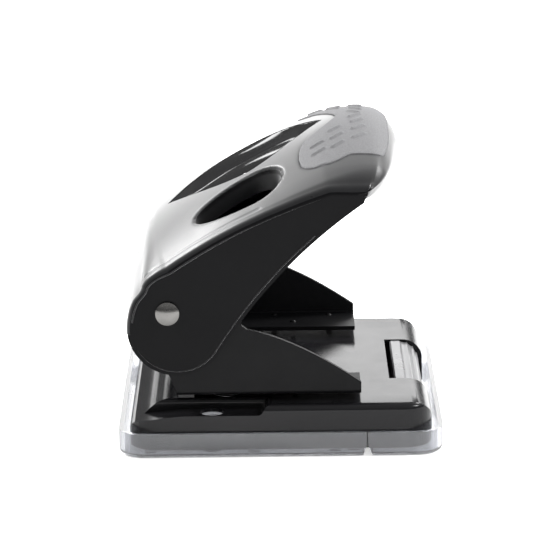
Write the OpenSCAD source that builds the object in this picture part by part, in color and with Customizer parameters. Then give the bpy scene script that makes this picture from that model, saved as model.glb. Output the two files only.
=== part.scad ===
// Two-hole desk punch: a hand lever presses two punch pins through paper into a
// pressed steel base that clips into a translucent chip tray with a drop-down flap.
// Units are millimetres. +X points to the side where paper goes in, +Y to the far side
// and +Z up. The origin is the middle of the tray's underside.

/* [Paper and holes] */
// Distance between the two hole centres
hole_spacing = 80; // [78:0.5:82]
// Diameter of a punch pin
pin_d = 5.5; // [5:0.1:6]
// Distance from a hole centre to the edge of the paper
paper_margin = 12; // [10:0.5:14]
// Height of the slot that the paper slides into
slot_h = 2.5; // [1.5:0.1:3.5]

/* [Chip tray] */
// Length of the tray, front to back
tray_l = 120; // [118:1:126]
// Width of the tray
tray_w = 118; // [117.4:0.2:122]
// Height of the tray's rim
tray_h = 9.4; // [8.6:0.2:11]
// Thickness of the tray's side walls
tray_wall = 1.5; // [1.2:0.05:1.6]
// Thickness of the tray's floor
tray_floor = 1.6; // [1.2:0.1:2]
// Radius of the tray's corners in plan
tray_corner_r = 10; // [8:0.5:12]
// Radius of the tray's lower edge
tray_edge_r = 2; // [1:0.25:2.5]
// Where the slit between tray and flap lies, from the middle
flap_x = 31.7; // [28:0.5:34]
// Height of the flap's hinge axis
flap_hinge_z = 5; // [4.6:0.1:5.4]
// Diameter of the flap's hinge pins
flap_pin_d = 2; // [1.6:0.1:2.2]

/* [Base] */
// Length of the pressed base
base_l = 112; // [110:0.5:114]
// Width of the pressed base
base_w = 114.4; // [112:0.4:114.6]
// Height of the base's top face
base_top_z = 19.6; // [18.6:0.2:21]
// Height of the base's lower edge inside the tray
base_foot_z = 3; // [2.4:0.1:3.6]
// Thickness of the base's sheet
base_t = 1.4; // [1:0.1:1.6]
// Corner radius of the base in plan
base_corner_r = 11; // [8:0.5:13]
// How far the side strips lie below the top face
strip_drop = 3.8; // [3:0.2:4.6]
// Width of each side strip
strip_w = 10.2; // [9.4:0.2:10.6]

/* [Side frames] */
// Width over both side frames
frame_w = 105.2; // [104:0.2:105.2]
// Thickness of the frame's steel
frame_t = 1.6; // [1.2:0.1:2]
// How far each lower flange reaches inwards
flange_w = 22; // [20:0.5:24]
// Front end of the side frames
frame_front_x = 29.7; // [27:0.5:34]
// Height of the frame's front edge above its flange
frame_front_h = 4.8; // [3:0.5:8]
// Height of the upper guide tab
tab_z = 40; // [38:0.5:42]

/* [Lever] */
// Width of the lever
lever_w = 112; // [111.6:0.2:112.4]
// Distance of the pivot behind the middle
pivot_back = 40.9; // [40:0.1:42]
// Height of the pivot
pivot_z = 54.9; // [54:0.1:56]
// Diameter of the pivot shaft
pivot_d = 6; // [5:0.1:6.4]
// Diameter of the round pivot caps
cap_d = 8.7; // [8:0.1:11]
// How far the lever swings when it is pressed, in degrees
lever_swing = 26; // [24:0.5:26]
// Wall of the lever cover on top
cover_t = 2.2; // [1.8:0.1:2.6]
// Thickness of the lever's steel cheeks
cheek_t = 1.2; // [1:0.05:1.25]
// Radius of the cheek's lobe round the pivot
lobe_r = 18.3; // [17:0.1:19]
// How far the cover's middle stands above its sides
crown_h = 12; // [10:0.25:13]
// Radius of the lever's nose
nose_r = 13; // [12:0.25:14]
// Diameter of the bar edge that presses on the pins
beam_d = 8; // [6:0.5:9]

/* [Grip pad and inlay] */
// How far the rubber pad stands proud of the cover
pad_proud = 0.5; // [0.2:0.1:0.8]
// How far the inlay lies below the cover's skin
inlay_sunk = 0.1; // [0:0.1:0.4]
// Half the width of the leaf-shaped inlay
leaf_half_w = 22; // [18:0.5:24]

/* [Release button] */
// Width of the ribbed button
button_w = 50; // [44:1:54]
// Travel of the button
button_travel = 2; // [1:0.25:2]

/* [Springs] */
// Wire diameter of the pins' return springs
spring_wire = 0.9; // [0.7:0.05:1]
// Turns of each return spring
spring_turns = 5; // [3:1:5]

/* [Hidden] */
$fn = 64;
near = -1;
far = 1;

// Clearances
run_gap = 0.05;      // round parts that turn or slide in each other
part_gap = 0.1;      // flat faces of different pieces side by side
slack = 0.3;         // moving pieces that pass each other
pocket_gap = 0.15;   // round the pad and the inlay in their recesses
press_gap = 0.02;    // pins and rivets that sit tight in their holes
cut = 1;             // how far a hole's cutter reaches past the face

// Lever across its width, from the outside in
lever_half = lever_w / 2;
frame_half = frame_w / 2;
washer_t = 0.5;
cheek_in = frame_half + washer_t + 2 * run_gap;
cheek_out = cheek_in + cheek_t;
cover_in = cheek_out + part_gap;

// Pins and their guides
pin_x = -20;
pin_y = hole_spacing / 2;
pin_r = pin_d / 2;
pivot_x = -pivot_back;
pin_bore_r = pin_r + run_gap;
flange_z = base_top_z + slot_h;
flange_top = flange_z + frame_t;
pin_tip_z = flange_z + 0.9;
tab_top = tab_z + frame_t;
bush_flange_t = 0.6;
bush_r = pin_r + 1.5;
bush_flange_r = bush_r + 1.2;
bush_drop = 1.5;
spring_low = tab_top + bush_flange_t + run_gap;
spring_len = 16.2;
head_z = spring_low + spring_len + run_gap;
head_t = 2;
head_r = pin_r + 1.9;
head_top = head_z + head_t;
clip_t = 0.6;
clip_r = pin_r + 1.9;
clip_top = tab_z - bush_drop - run_gap;
spring_r = pin_r + 0.75 + spring_wire / 2;

// The bar edge above the pin heads, and the pins' travel for the lever's swing. The
// travel keeps the bar off the heads at the end of the swing by the same small gap.
beam_r = beam_d / 2;
beam_gap = 0.3;
beam_end_gap = 0.12;
beam_a = pin_x - pivot_x;
beam_b = head_top + beam_gap + beam_r - pivot_z;
pin_travel = beam_end_gap - beam_gap + beam_a * sin(lever_swing)
             + beam_b * (1 - cos(lever_swing));
echo(pin_travel = pin_travel, pin_ratio = pin_travel / (lever_swing * PI / 180));

// ---------------------------------------------------------------- crown of the lever
// The cover's middle line in side view is a chain of arcs, each given by the direction
// of its outward normal: lip, nose, shoulder, back, rear corner, then a straight wall.
lip_a = -60;
nose_a = 85;
shoulder_a = 112;
back_a = 127.5;
corner_a = 171;
wall_a = 181;
shoulder_r = 45;
back_r = 250;
corner_r = 12;
wall_len = 16;
nose_c = [32.4, 102.6];

function unit(a) = [cos(a), sin(a)];
shoulder_c = nose_c + (nose_r - shoulder_r) * unit(nose_a);
back_c = shoulder_c + (shoulder_r - back_r) * unit(shoulder_a);
corner_c = back_c + (back_r - corner_r) * unit(back_a);
wall_top = corner_c + corner_r * unit(corner_a);

function normal_at(a) = unit(min(a, corner_a));
function crown(a) =
    a <= nose_a ? nose_c + nose_r * unit(a)
    : a <= shoulder_a ? shoulder_c + shoulder_r * unit(a)
    : a <= back_a ? back_c + back_r * unit(a)
    : a <= corner_a ? corner_c + corner_r * unit(a)
    : wall_top + wall_len * (a - corner_a) / (wall_a - corner_a) * unit(corner_a + 90);

// How far the middle line moves towards the sides, as shares of the crown's height:
// along X and along Z, for each direction of the normal.
side_shift_x = [[lip_a, -0.17], [0, -0.5], [45, -0.35], [nose_a, 0], [shoulder_a, 0.37],
                [back_a, 0.37], [150, 0.1], [corner_a, 0.02], [wall_a, 0.02]];
side_shift_z = [[lip_a, 0.6], [0, -0.13], [45, -0.75], [nose_a, -1], [shoulder_a, -0.93],
                [back_a, -0.56], [150, -0.6], [corner_a, -0.54], [wall_a, -0.17]];
edge_share = [[lip_a, 0], [0, 0.35], [nose_a, 0.6], [shoulder_a, 1], [wall_a, 1]];
edge_r = 2.5;
crown_half = lever_half - edge_r;

function round_off(y, half, r) =
    abs(y) <= half - r ? 0 : r - sqrt(max(0, r * r - pow(abs(y) - half + r, 2)));
function skin_pt(a, y, out, half, r) =
    crown(a)
    + crown_h * pow(min(abs(y), crown_half) / crown_half, 2)
        * [lookup(a, side_shift_x), lookup(a, side_shift_z)]
    + (out - round_off(y, half, r) * lookup(a, edge_share)) * normal_at(a);

skin_angles = concat([for (i = [0:8]) lip_a + i * (nose_a - lip_a) / 9],
                     [for (i = [0:4]) nose_a + i * (shoulder_a - nose_a) / 5],
                     [for (i = [0:6]) shoulder_a + i * (back_a - shoulder_a) / 7],
                     [for (i = [0:5]) back_a + i * (corner_a - back_a) / 6],
                     [corner_a, (corner_a + wall_a) / 2, wall_a]);

// Rows across the lever: even over the crown, then closer round the edge.
crown_steps = 6;
crown_rows = [for (i = [-crown_steps:crown_steps]) crown_half * i / crown_steps];
function skin_rows(half, r) =
    let (side = concat([for (i = [1:crown_steps]) (half - r) * i / crown_steps],
                       [for (a = [25, 50, 72, 90]) half - r + r * sin(a)]))
    concat([for (i = [len(side) - 1:-1:0]) -side[i]], [0], side);

// A closed solid through one outline for each row, from -Y to +Y.
module stack(rows, outlines) {
    n = len(outlines[0]);
    m = len(rows);
    points = [for (j = [0:m - 1]) for (p = outlines[j]) [p[0], rows[j], p[1]]];
    sides = [for (j = [0:m - 2]) for (i = [0:n - 1])
        let (k = (i + 1) % n)
        each [[j * n + i, j * n + k, (j + 1) * n + i],
              [j * n + k, (j + 1) * n + k, (j + 1) * n + i]]];
    first = [[for (i = [n - 1:-1:0]) i]];
    last = [[for (i = [0:n - 1]) (m - 1) * n + i]];
    polyhedron(points, concat(sides, first, last));
}

over_top = 125;
beyond = 8;
// The space under the skin that lies at distance out from the cover's surface, over the
// crown only, down to the straight line from the lip to the foot of the rear wall, or
// reach beyond it.
module skin_block(rows, out, reach = 0) {
    lip_reach = reach * unit(lip_a - 90);
    wall_reach = reach * unit(corner_a + 90);
    stack(rows, [for (y = rows) let (
        skin = [for (a = skin_angles) skin_pt(a, y, out, lever_half, edge_r)])
        reach == 0 ? skin
        : concat([skin[0] + lip_reach], skin, [skin[len(skin) - 1] + wall_reach])]);
}

// A layer of the cover between two depths under its skin, cut out by a plan view.
module skin_layer(rows, out, depth, low) {
    difference() {
        intersection() {
            skin_block(rows, out);
            upright(low, over_top)
                children();
        }
        skin_block(rows, -depth, beyond);
    }
}

// The cover's bent sheet: outer and inner skin, closed at the lip, the foot of the rear
// wall and both sides. Each row holds its outer points, then its inner ones.
module cover_sheet() {
    rows = skin_rows(lever_half, edge_r);
    n = len(skin_angles);
    m = len(rows);
    points = [for (y = rows) for (out = [0, -cover_t]) for (a = skin_angles)
        let (p = skin_pt(a, y, out, lever_half, edge_r)) [p[0], y, p[1]]];
    function at(j, layer, i) = (2 * j + layer) * n + i;
    outer = [for (j = [0:m - 2]) for (i = [0:n - 2])
        each [[at(j, 0, i), at(j, 0, i + 1), at(j + 1, 0, i)],
              [at(j, 0, i + 1), at(j + 1, 0, i + 1), at(j + 1, 0, i)]]];
    inner = [for (j = [0:m - 2]) for (i = [0:n - 2])
        each [[at(j, 1, i), at(j + 1, 1, i), at(j, 1, i + 1)],
              [at(j, 1, i + 1), at(j + 1, 1, i), at(j + 1, 1, i + 1)]]];
    ends = [for (j = [0:m - 2])
        each [[at(j, 0, 0), at(j + 1, 0, 0), at(j, 1, 0)],
              [at(j + 1, 0, 0), at(j + 1, 1, 0), at(j, 1, 0)],
              [at(j, 0, n - 1), at(j, 1, n - 1), at(j + 1, 0, n - 1)],
              [at(j + 1, 0, n - 1), at(j, 1, n - 1), at(j + 1, 1, n - 1)]]];
    sides = [for (i = [0:n - 2])
        each [[at(0, 0, i), at(0, 1, i), at(0, 0, i + 1)],
              [at(0, 0, i + 1), at(0, 1, i), at(0, 1, i + 1)],
              [at(m - 1, 0, i), at(m - 1, 0, i + 1), at(m - 1, 1, i)],
              [at(m - 1, 0, i + 1), at(m - 1, 1, i + 1), at(m - 1, 1, i)]]];
    polyhedron(points, concat(outer, inner, ends, sides));
}

// ---------------------------------------------------------------- cheeks of the lever
lobe_c = [-37.5, 49.5];
cheek_cut_r = 190;
cheek_cut_a = -31.9;
cheek_bite = 0.05;
cheek_cut_c = lobe_c + (lobe_r + cheek_cut_r) * unit(cheek_cut_a);

function edge_pts(y, inset, from, to, n) =
    [for (i = [0:n]) let (a = from + (to - from) * i / n)
        skin_pt(a, y, -inset, lever_half, edge_r)];

// Side view of a cheek below its top edge, which follows the cover: the lower edge is
// one long hollow arc that runs into the lobe round the pivot.
module cheek_outline(top) {
    lobe_left = lobe_c - [lobe_r, 0];
    difference() {
        polygon(concat(top, [lobe_left, lobe_c, lobe_c + lobe_r * unit(cheek_cut_a)]));
        translate(cheek_cut_c)
            circle(r = cheek_cut_r + cheek_bite, $fn = 360);
    }
    translate(lobe_c)
        circle(r = lobe_r, $fn = 96);
}

// Stands a side view up at y = from, with its thickness towards +Y.
module side_plate(from, thick) {
    translate([0, from + thick, 0])
        rotate([90, 0, 0])
            linear_extrude(thick)
                children();
}

// The same plate on both sides, between two distances from the middle.
module both_sides(inner, outer) {
    side_plate(inner, outer - inner)
        children();
    side_plate(-outer, outer - inner)
        children();
}

module rod_y(x, z, r, from, to) {
    translate([x, from, z])
        rotate([-90, 0, 0])
            cylinder(r = r, h = to - from);
}

// ---------------------------------------------------------------- pad and inlay
leaf_back_x = -41.5;
leaf_front_x = 16.3;
leaf_wide_x = -11;
leaf_back_power = 1.9;
leaf_front_power = 1.5;
function leaf_half(x) =
    let (u = x < leaf_wide_x ? (leaf_wide_x - x) / (leaf_wide_x - leaf_back_x)
                             : (x - leaf_wide_x) / (leaf_front_x - leaf_wide_x))
    leaf_half_w * (1 - pow(u, x < leaf_wide_x ? leaf_back_power : leaf_front_power));
module leaf_plan(grow) {
    steps = 20;
    long = leaf_front_x - leaf_back_x;
    upper = [for (i = [0:steps]) let (x = leaf_back_x + long * i / steps)
        [x + grow * (2 * i / steps - 1) * 2, leaf_half(x) + grow]];
    polygon(concat(upper, [for (i = [steps:-1:0]) [upper[i][0], -upper[i][1]]]));
}

pad_edge = [[21.6, 0], [20.2, 5], [15.6, 13], [9.7, 20], [7.8, 28], [7.9, 34.5], [9.5, 40],
            [14.1, 42.5], [20.6, 42], [26.2, 39], [33, 38.8], [39.5, 38]];
pad_front = [[42.2, 30], [42.8, 15]];
module pad_plan(grow) {
    half = concat(pad_edge, pad_front);
    centre = [25, 0];
    function away(p) = p + grow * [p[0] < 22 ? -1 : 0.6, p[1] > 20 ? 1 : 0];
    polygon(concat([for (p = half) away(p)],
                   [for (i = [len(half) - 1:-1:1]) let (q = away(half[i])) [q[0], -q[1]]]));
}

// Short straight ribs on the pad. Each row gives the direction of the skin's normal where
// the rib lies, its distance from the middle and its turn towards the middle.
rib_l = 6.4;
rib_w = 1.3;
rib_h = 0.5;
rib_places = [[110.8, 27, 26], [110.8, 33, 26], [101.3, 17, 40], [101, 23.8, 40],
              [101, 30.8, 40], [91.2, 3.2, 45], [90.5, 10, 45], [90.2, 17.6, 42],
              [90.2, 25.5, 40]];
function skin_at(a, y, out) = let (p = skin_pt(a, y, out, lever_half, edge_r)) [p[0], y, p[1]];

// Stands a piece on the skin, its X towards the nose and its Z along the outward normal.
module on_skin(a, y, out) {
    p = skin_at(a, y, out);
    ahead = skin_at(a - 2, y, out) - p;
    aside = skin_at(a, y + 2, out) - p;
    n = cross(ahead, aside) / norm(cross(ahead, aside));
    u = ahead / norm(ahead);
    v = cross(n, u);
    multmatrix([[u[0], v[0], n[0], p[0]], [u[1], v[1], n[1], p[1]], [u[2], v[2], n[2], p[2]],
                [0, 0, 0, 1]])
        children();
}

finger_x = -14.7;
finger_y = 36;
finger_l = 32;
finger_w = 20.6;

// ---------------------------------------------------------------- modules of the base
module round_rect(l, w, r) {
    square([l - 2 * r, w], center = true);
    square([l, w - 2 * r], center = true);
    for (x = [-1, 1], y = [-1, 1])
        translate([x * (l / 2 - r), y * (w / 2 - r)])
            circle(r = r);
}

// A slab with round corners in plan and a round edge: below, or above when top is true.
module soft_slab(l, w, low, high, corner, edge, top) {
    hull()
        for (x = [-1, 1], y = [-1, 1])
            translate([x * (l / 2 - corner), y * (w / 2 - corner), 0])
                rotate_extrude($fn = 40)
                    polygon(concat([[0, low], [0, high]],
                        top ? [for (a = [90:-15:0])
                                   [corner - edge + edge * cos(a), high - edge + edge * sin(a)]]
                            : [[corner, high]],
                        top ? [[corner, low]]
                            : [for (a = [0:-15:-90])
                                   [corner - edge + edge * cos(a), low + edge + edge * sin(a)]]));
}

// Side view of the base. The rear of the high part and the low strips share the slope
// at the back, and the front rolls over in one large round. The slopes and the step are
// given along X and as depths below the top face.
front_r = 8;
base_edge_r = 2.5;
skirt_z = 9;
skirt_lean = 0.2;
top_slope = [[-50.5, 5.7], [-46, 1.6], [-42, 0.3], [-38, 0]];
strip_slope = [[-50.5, 5.7], [-44, 4.5], [-36, 3.8]];
step_x = -8.5;
step_r = 2;
step_slope = [[-5.1, 0.8], [-3.3, 0]];
module base_side_view(low, inset) {
    half = base_l / 2 - inset;
    top = base_top_z - inset;
    strip = top - strip_drop;
    rear = [for (p = low ? strip_slope : top_slope)
        [p[0] + inset / 2, top - (low ? max(p[1], strip_drop) : p[1])]];
    step = [for (a = [-90:15:-45]) [step_x + step_r * cos(a) - inset / 2,
                                    strip + step_r + step_r * sin(a)]];
    rise = [for (p = step_slope) [p[0] - inset / 2, top - p[1]]];
    polygon(concat([[-half, base_foot_z - cut], [-half + skirt_lean, skirt_z]], rear,
        low ? concat(step, rise) : [],
        [for (a = [90:-9:20]) [half - front_r + front_r * cos(a),
                               top - front_r + front_r * sin(a)]],
        [[half - skirt_lean, skirt_z], [half, base_foot_z - cut]]));
}

module base_form(inset, foot) {
    intersection() {
        soft_slab(base_l - 2 * inset, base_w - 2 * inset, foot, base_top_z - inset,
                  base_corner_r - inset, base_edge_r, true);
        union() {
            side_plate(-base_w / 2, base_w)
                base_side_view(true, inset);
            strip_in = base_w / 2 - strip_w - inset;
            side_plate(-strip_in, 2 * strip_in)
                base_side_view(false, inset);
        }
    }
}

// Places shared by the base, the dies, the stops and the rivets
die_r = pin_r + 2.8;
die_t = 3;
die_land = 1.8;
stop_front = pin_x - paper_margin;
stop_l = 6.2;
stop_back = stop_front - stop_l;
stop_in = frame_half - flange_w;
stop_out = base_w / 2 - strip_w - 0.8;
rivet_r = 1.6;
rivet_head_r = rivet_r + 1.2;
rivet_head_t = 1.1;
rivet_x = (stop_front + stop_back) / 2;
rivet_y = [stop_in + 4, stop_out - 3.5];
snap_x = -25.3;
snap_y = 51.9;
snap_hole_r = 4.4;
snap_post_r = 3.6;
snap_top = base_top_z - strip_drop - 2;

module at_pins(side) {
    translate([pin_x, side * pin_y, 0])
        children();
}

// Button in the front edge of the base
button_back = 43.1;
button_front = base_l / 2 - 1.7;
button_cut_x = 41;
button_half = button_w / 2;
button_low = 11.5;
carrier_floor = 9.2;
carrier_t = 1.2;
carrier_relief = 1.2;
leg_gap = 0.4;
lug_w = 1.6;
button_spring_y = 14;
button_spring_x = 48;
button_spring_r = 2.2;
button_spring_wire = 0.6;
button_spring_top = button_low + 5.2;
button_leg = 3.5;
button_leg_y = 21;
button_leg_low = base_foot_z + button_travel;
base_under = base_top_z - base_t;

// ---------------------------------------------------------------- tray and flap
tray_end = 1.8;
module tray_shell() {
    difference() {
        soft_slab(tray_l, tray_w, 0, tray_h, tray_corner_r, tray_edge_r, false);
        translate([0, 0, tray_floor])
            linear_extrude(tray_h)
                round_rect(tray_l - 2 * tray_end, tray_w - 2 * tray_wall, tray_corner_r - tray_wall);
    }
}

// Everything on one side of the slit. The slit opens downwards into a notch, so that
// the flap can swing down about the hinge axis at its tip.
slit = 0.4;
notch_top = flap_hinge_z - 1.2;
notch_tip = 0.55;
notch_back = 1.9;
notch_front = 2.5;
module half_space(dir, notch) {
    polygon([[flap_x + dir * slit / 2, tray_h + cut], [flap_x + dir * slit / 2, notch_top + notch_tip],
             [flap_x + dir * notch_tip, notch_top], [flap_x + dir * notch, -cut],
             [dir * tray_l, -cut], [dir * tray_l, tray_h + cut]]);
}

// A hinge ear: a round head on the axis and a foot on the floor, towards dir.
ear_out = base_w / 2 - base_t - slack;
ear_t = 2.4;
ear_r = 2.2;
ear_heel = 3.2;
ear_toe = 7.7;
ear_root = tray_floor - 0.4;
module hinge_ear(dir, outer, bore_r) {
    for (side = [near, far])
        difference() {
            side_plate(side > 0 ? outer - ear_t : -outer, ear_t)
                union() {
                    translate([flap_x, flap_hinge_z])
                        circle(r = ear_r);
                    polygon([[flap_x + dir * ear_r * 0.55, flap_hinge_z + ear_r * 0.8],
                             [flap_x + dir * ear_r * 0.75, flap_hinge_z - ear_r * 0.8],
                             [flap_x + dir * ear_heel, ear_root],
                             [flap_x + dir * ear_toe, ear_root]]);
                }
            rod_y(flap_x, flap_hinge_z, bore_r, side * outer - 4, side * outer + 4);
        }
}

foot_rib = [4, 3.2];
foot_rib_x = [-48, -10, 20];
foot_rib_y = base_w / 2 - 2.4;
module chip_tray() {
    color([0.62, 0.63, 0.65, 0.55]) {
        intersection() {
            tray_shell();
            side_plate(-tray_w, 2 * tray_w)
                half_space(-1, notch_back);
        }
        hinge_ear(-1, ear_out, flap_pin_d / 2 + press_gap);
        // Ribs that carry the lower edge of the base
        for (side = [near, far], x = foot_rib_x)
            translate([x, side * foot_rib_y, (ear_root + base_foot_z) / 2])
                cube([foot_rib[0], foot_rib[1], base_foot_z - ear_root], center = true);
        // Snap posts that reach up into the round holes of the base
        for (side = [near, far])
            translate([snap_x, side * snap_y, ear_root])
                cylinder(r = snap_post_r, h = snap_top - ear_root);
    }
}

// A curved lip above the floor, round the hinge axis, keeps the chips in at the slit.
lip_r = [2.4, 3.2];
lip_turn = [-125, -35];
lip_foot_a = -65;
lip_half = ear_out - 2 * ear_t - 3 * slack;
module closing_lip() {
    axis = [flap_x, flap_hinge_z];
    middle = (lip_r[0] + lip_r[1]) / 2;
    polygon(concat([for (a = [lip_turn[0]:10:lip_turn[1]]) axis + lip_r[1] * unit(a)],
                   [for (a = [lip_turn[1]:-10:lip_turn[0]]) axis + lip_r[0] * unit(a)]));
    polygon([axis + middle * unit(lip_foot_a), axis + middle * unit(lip_turn[1]),
             [flap_x + ear_heel + 1, ear_root], [flap_x + notch_front - 0.7, ear_root]]);
}

module tray_flap() {
    color([0.62, 0.63, 0.65, 0.55]) {
        intersection() {
            tray_shell();
            side_plate(-tray_w, 2 * tray_w)
                half_space(1, notch_front);
        }
        hinge_ear(1, ear_out - ear_t - slack, flap_pin_d / 2 + run_gap);
        side_plate(-lip_half, 2 * lip_half)
            closing_lip();
    }
}

module flap_hinge_pins() {
    color("silver")
        for (side = [near, far])
            rod_y(flap_x, flap_hinge_z, flap_pin_d / 2,
                  side > 0 ? ear_out - 2 * ear_t - slack : -ear_out,
                  side > 0 ? ear_out : -ear_out + 2 * ear_t + slack);
}

module base_plate() {
    color([0.05, 0.05, 0.055])
        difference() {
            base_form(0, base_foot_z);
            base_form(base_t, base_foot_z - 1);
            for (side = [near, far]) {
                at_pins(side)
                    cylinder(r = die_r, h = 2 * base_top_z);
                for (y = rivet_y)
                    translate([rivet_x, side * y, base_foot_z + cut])
                        cylinder(r = rivet_r + press_gap, h = base_top_z);
                translate([snap_x, side * snap_y, base_foot_z + cut])
                    cylinder(r = snap_hole_r, h = base_top_z);
            }
            translate([button_cut_x, -button_half - slack, base_foot_z - cut])
                cube([base_l, button_w + 2 * slack, base_top_z]);
        }
}

// ---------------------------------------------------------------- side frames
// Side view of the upright wall, from the front edge over the pivot to the rear edge.
wall_low = flange_z + 2;
pivot_ear_r = 8.6;
curve_rise = 21;
curve_run = 46;
curve_power = 1.55;
tower_x = -14;
tower_top = pivot_z + 4;
rear_foot = [stop_back - 2.6, wall_low + 6];
function frame_top(x) = flange_z + frame_front_h + curve_rise
    * (1 - pow(max(0, 1 - (frame_front_x - x) / curve_run), curve_power));
module frame_wall_view() {
    ear = [pivot_x, pivot_z];
    polygon(concat(
        [[stop_back + slack, wall_low], [frame_front_x, wall_low]],
        [for (i = [0:10]) let (x = frame_front_x + (tower_x + 2 - frame_front_x) * i / 10)
            [x, frame_top(x)]],
        [[tower_x, frame_top(tower_x) + 1.2], [tower_x - 0.4, tower_top],
         ear + pivot_ear_r * unit(60), ear, ear + pivot_ear_r * unit(200), rear_foot]));
    translate(ear)
        circle(r = pivot_ear_r);
}

// Wall and flange in front view, with a round bend between them
bend_r = 2.2;
module flange_section() {
    bend = [frame_half - bend_r, flange_z + bend_r];
    translate([frame_half - flange_w, flange_z])
        square([flange_w - bend_r, frame_t]);
    translate([frame_half - frame_t, bend[1]])
        square([frame_t, bend_r]);
    intersection() {
        translate(bend)
            difference() {
                circle(r = bend_r);
                circle(r = bend_r - frame_t);
            }
        translate([bend[0] - 0.1, flange_z])
            square([bend_r + 0.1, bend_r + 0.1]);
    }
}

tab_in = pin_y - 8;
tab_back = pin_x - 8;
tab_front = pin_x + 7;
fold_w = 6;
fold_t = 1.8;
fold_top = [stop_back - 7.4, pivot_z - 17];
pip_places = [[-2.1, 48], [5.4, 38], [19.7, 47]];
pip_r = 1.6;
pip_h = 0.7;
module side_frame(side) {
    color([0.06, 0.06, 0.065])
        scale([1, side, 1])
            difference() {
                union() {
                    side_plate(frame_half - frame_t, frame_t)
                        frame_wall_view();
                    translate([stop_back, 0, 0])
                        rotate([90, 0, 90])
                            linear_extrude(frame_front_x - stop_back)
                                flange_section();
                    translate([tab_back, tab_in, tab_z])
                        cube([tab_front - tab_back, frame_half - frame_t / 2 - tab_in, frame_t]);
                    // Rear edge folded inwards
                    side_plate(frame_half - fold_w, fold_w - frame_t / 2)
                        polygon([[stop_back, flange_z + frame_t / 2],
                                 [stop_back + fold_t, flange_z + frame_t / 2],
                                 rear_foot + [fold_t, 0], fold_top, fold_top - [fold_t, 0],
                                 rear_foot]);
                    for (p = pip_places)
                        translate([p[0], p[1], flange_top + pip_h - pip_r])
                            sphere(r = pip_r);
                }
                rod_y(pivot_x, pivot_z, pivot_d / 2 + press_gap, frame_half - frame_t - cut,
                      frame_half + cut);
                translate([pin_x, pin_y, flange_z - cut])
                    cylinder(r = pin_bore_r, h = frame_t + 2 * cut);
                translate([pin_x, pin_y, tab_z - cut])
                    cylinder(r = bush_r, h = frame_t + 2 * cut);
                for (y = rivet_y)
                    translate([rivet_x, y, flange_z - cut])
                        cylinder(r = rivet_r + press_gap, h = frame_t + 2 * cut);
            }
}

module paper_stop(side) {
    color([0.3, 0.3, 0.31])
        scale([1, side, 1])
            difference() {
                translate([stop_back + 0.4, stop_in, base_top_z])
                    cube([stop_l - 0.4, stop_out - stop_in, slot_h]);
                for (y = rivet_y)
                    translate([rivet_x, y, base_top_z - cut])
                        cylinder(r = rivet_r + press_gap, h = slot_h + 2 * cut);
            }
}

module frame_rivets() {
    head = rivet_head_t;
    color("dimgray")
        for (side = [near, far], y = rivet_y)
            translate([rivet_x, side * y, 0])
                rotate_extrude()
                    polygon([[0, base_under - head], [rivet_head_r - 0.3, base_under - head],
                             [rivet_head_r, base_under], [rivet_r, base_under],
                             [rivet_r, flange_top], [rivet_head_r, flange_top],
                             [rivet_head_r - 0.5, flange_top + head * 0.7],
                             [0, flange_top + head]]);
}

// A die sits in its hole on a rim under the base. Below the cutting land it is wider.
die_rim = 1;
die_relief = 0.4;
die_flat = base_w / 2 - strip_w - base_t - pin_y - press_gap;
module die(side) {
    color("gray")
        at_pins(side)
            difference() {
                die_turned();
                // Flat beside the side wall of the base's high middle
                translate([-2 * die_r, side > 0 ? die_flat : -die_flat - die_r, base_top_z - 2 * die_t])
                    cube([4 * die_r, die_r, 2 * die_t - base_t]);
            }
}

module die_turned() {
    rotate_extrude()
        polygon([[pin_bore_r, base_top_z], [die_r - press_gap, base_top_z],
                 [die_r - press_gap, base_under - press_gap],
                 [die_r + die_rim, base_under - press_gap],
                 [die_r + die_rim, base_top_z - die_t],
                 [pin_bore_r + die_relief, base_top_z - die_t],
                 [pin_bore_r + die_relief, base_top_z - die_land],
                 [pin_bore_r, base_top_z - die_land]]);
}

pin_hollow = [1.6, 3];
pin_lip = 0.3;
head_bevel = 0.4;
module punch_pin(side) {
    color("silver")
        at_pins(side)
            rotate_extrude()
                polygon([[0, pin_tip_z + pin_hollow[1]],
                         [pin_hollow[0], pin_tip_z + pin_hollow[1]],
                         [pin_r - pin_lip, pin_tip_z], [pin_r, pin_tip_z],
                         [pin_r, head_z], [head_r, head_z], [head_r, head_top - head_bevel],
                         [head_r - head_bevel, head_top], [0, head_top]]);
}

clip_mouth = 2;
module pin_clip(side) {
    color("gray")
        at_pins(side)
            translate([0, 0, clip_top - clip_t])
                difference() {
                    cylinder(r = clip_r, h = clip_t);
                    translate([0, 0, -cut])
                        cylinder(r = pin_r, h = clip_t + 2 * cut);
                    translate([0, -clip_mouth / 2, -cut])
                        cube([clip_r + cut, clip_mouth, clip_t + 2 * cut]);
                }
}

module guide_bush(side) {
    outer = bush_r - press_gap;
    color([0.75, 0.7, 0.55])
        at_pins(side)
            rotate_extrude()
                polygon([[pin_bore_r, tab_z - bush_drop], [outer, tab_z - bush_drop],
                         [outer, tab_top], [bush_flange_r, tab_top],
                         [bush_flange_r, tab_top + bush_flange_t],
                         [pin_bore_r, tab_top + bush_flange_t]]);
}

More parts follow.
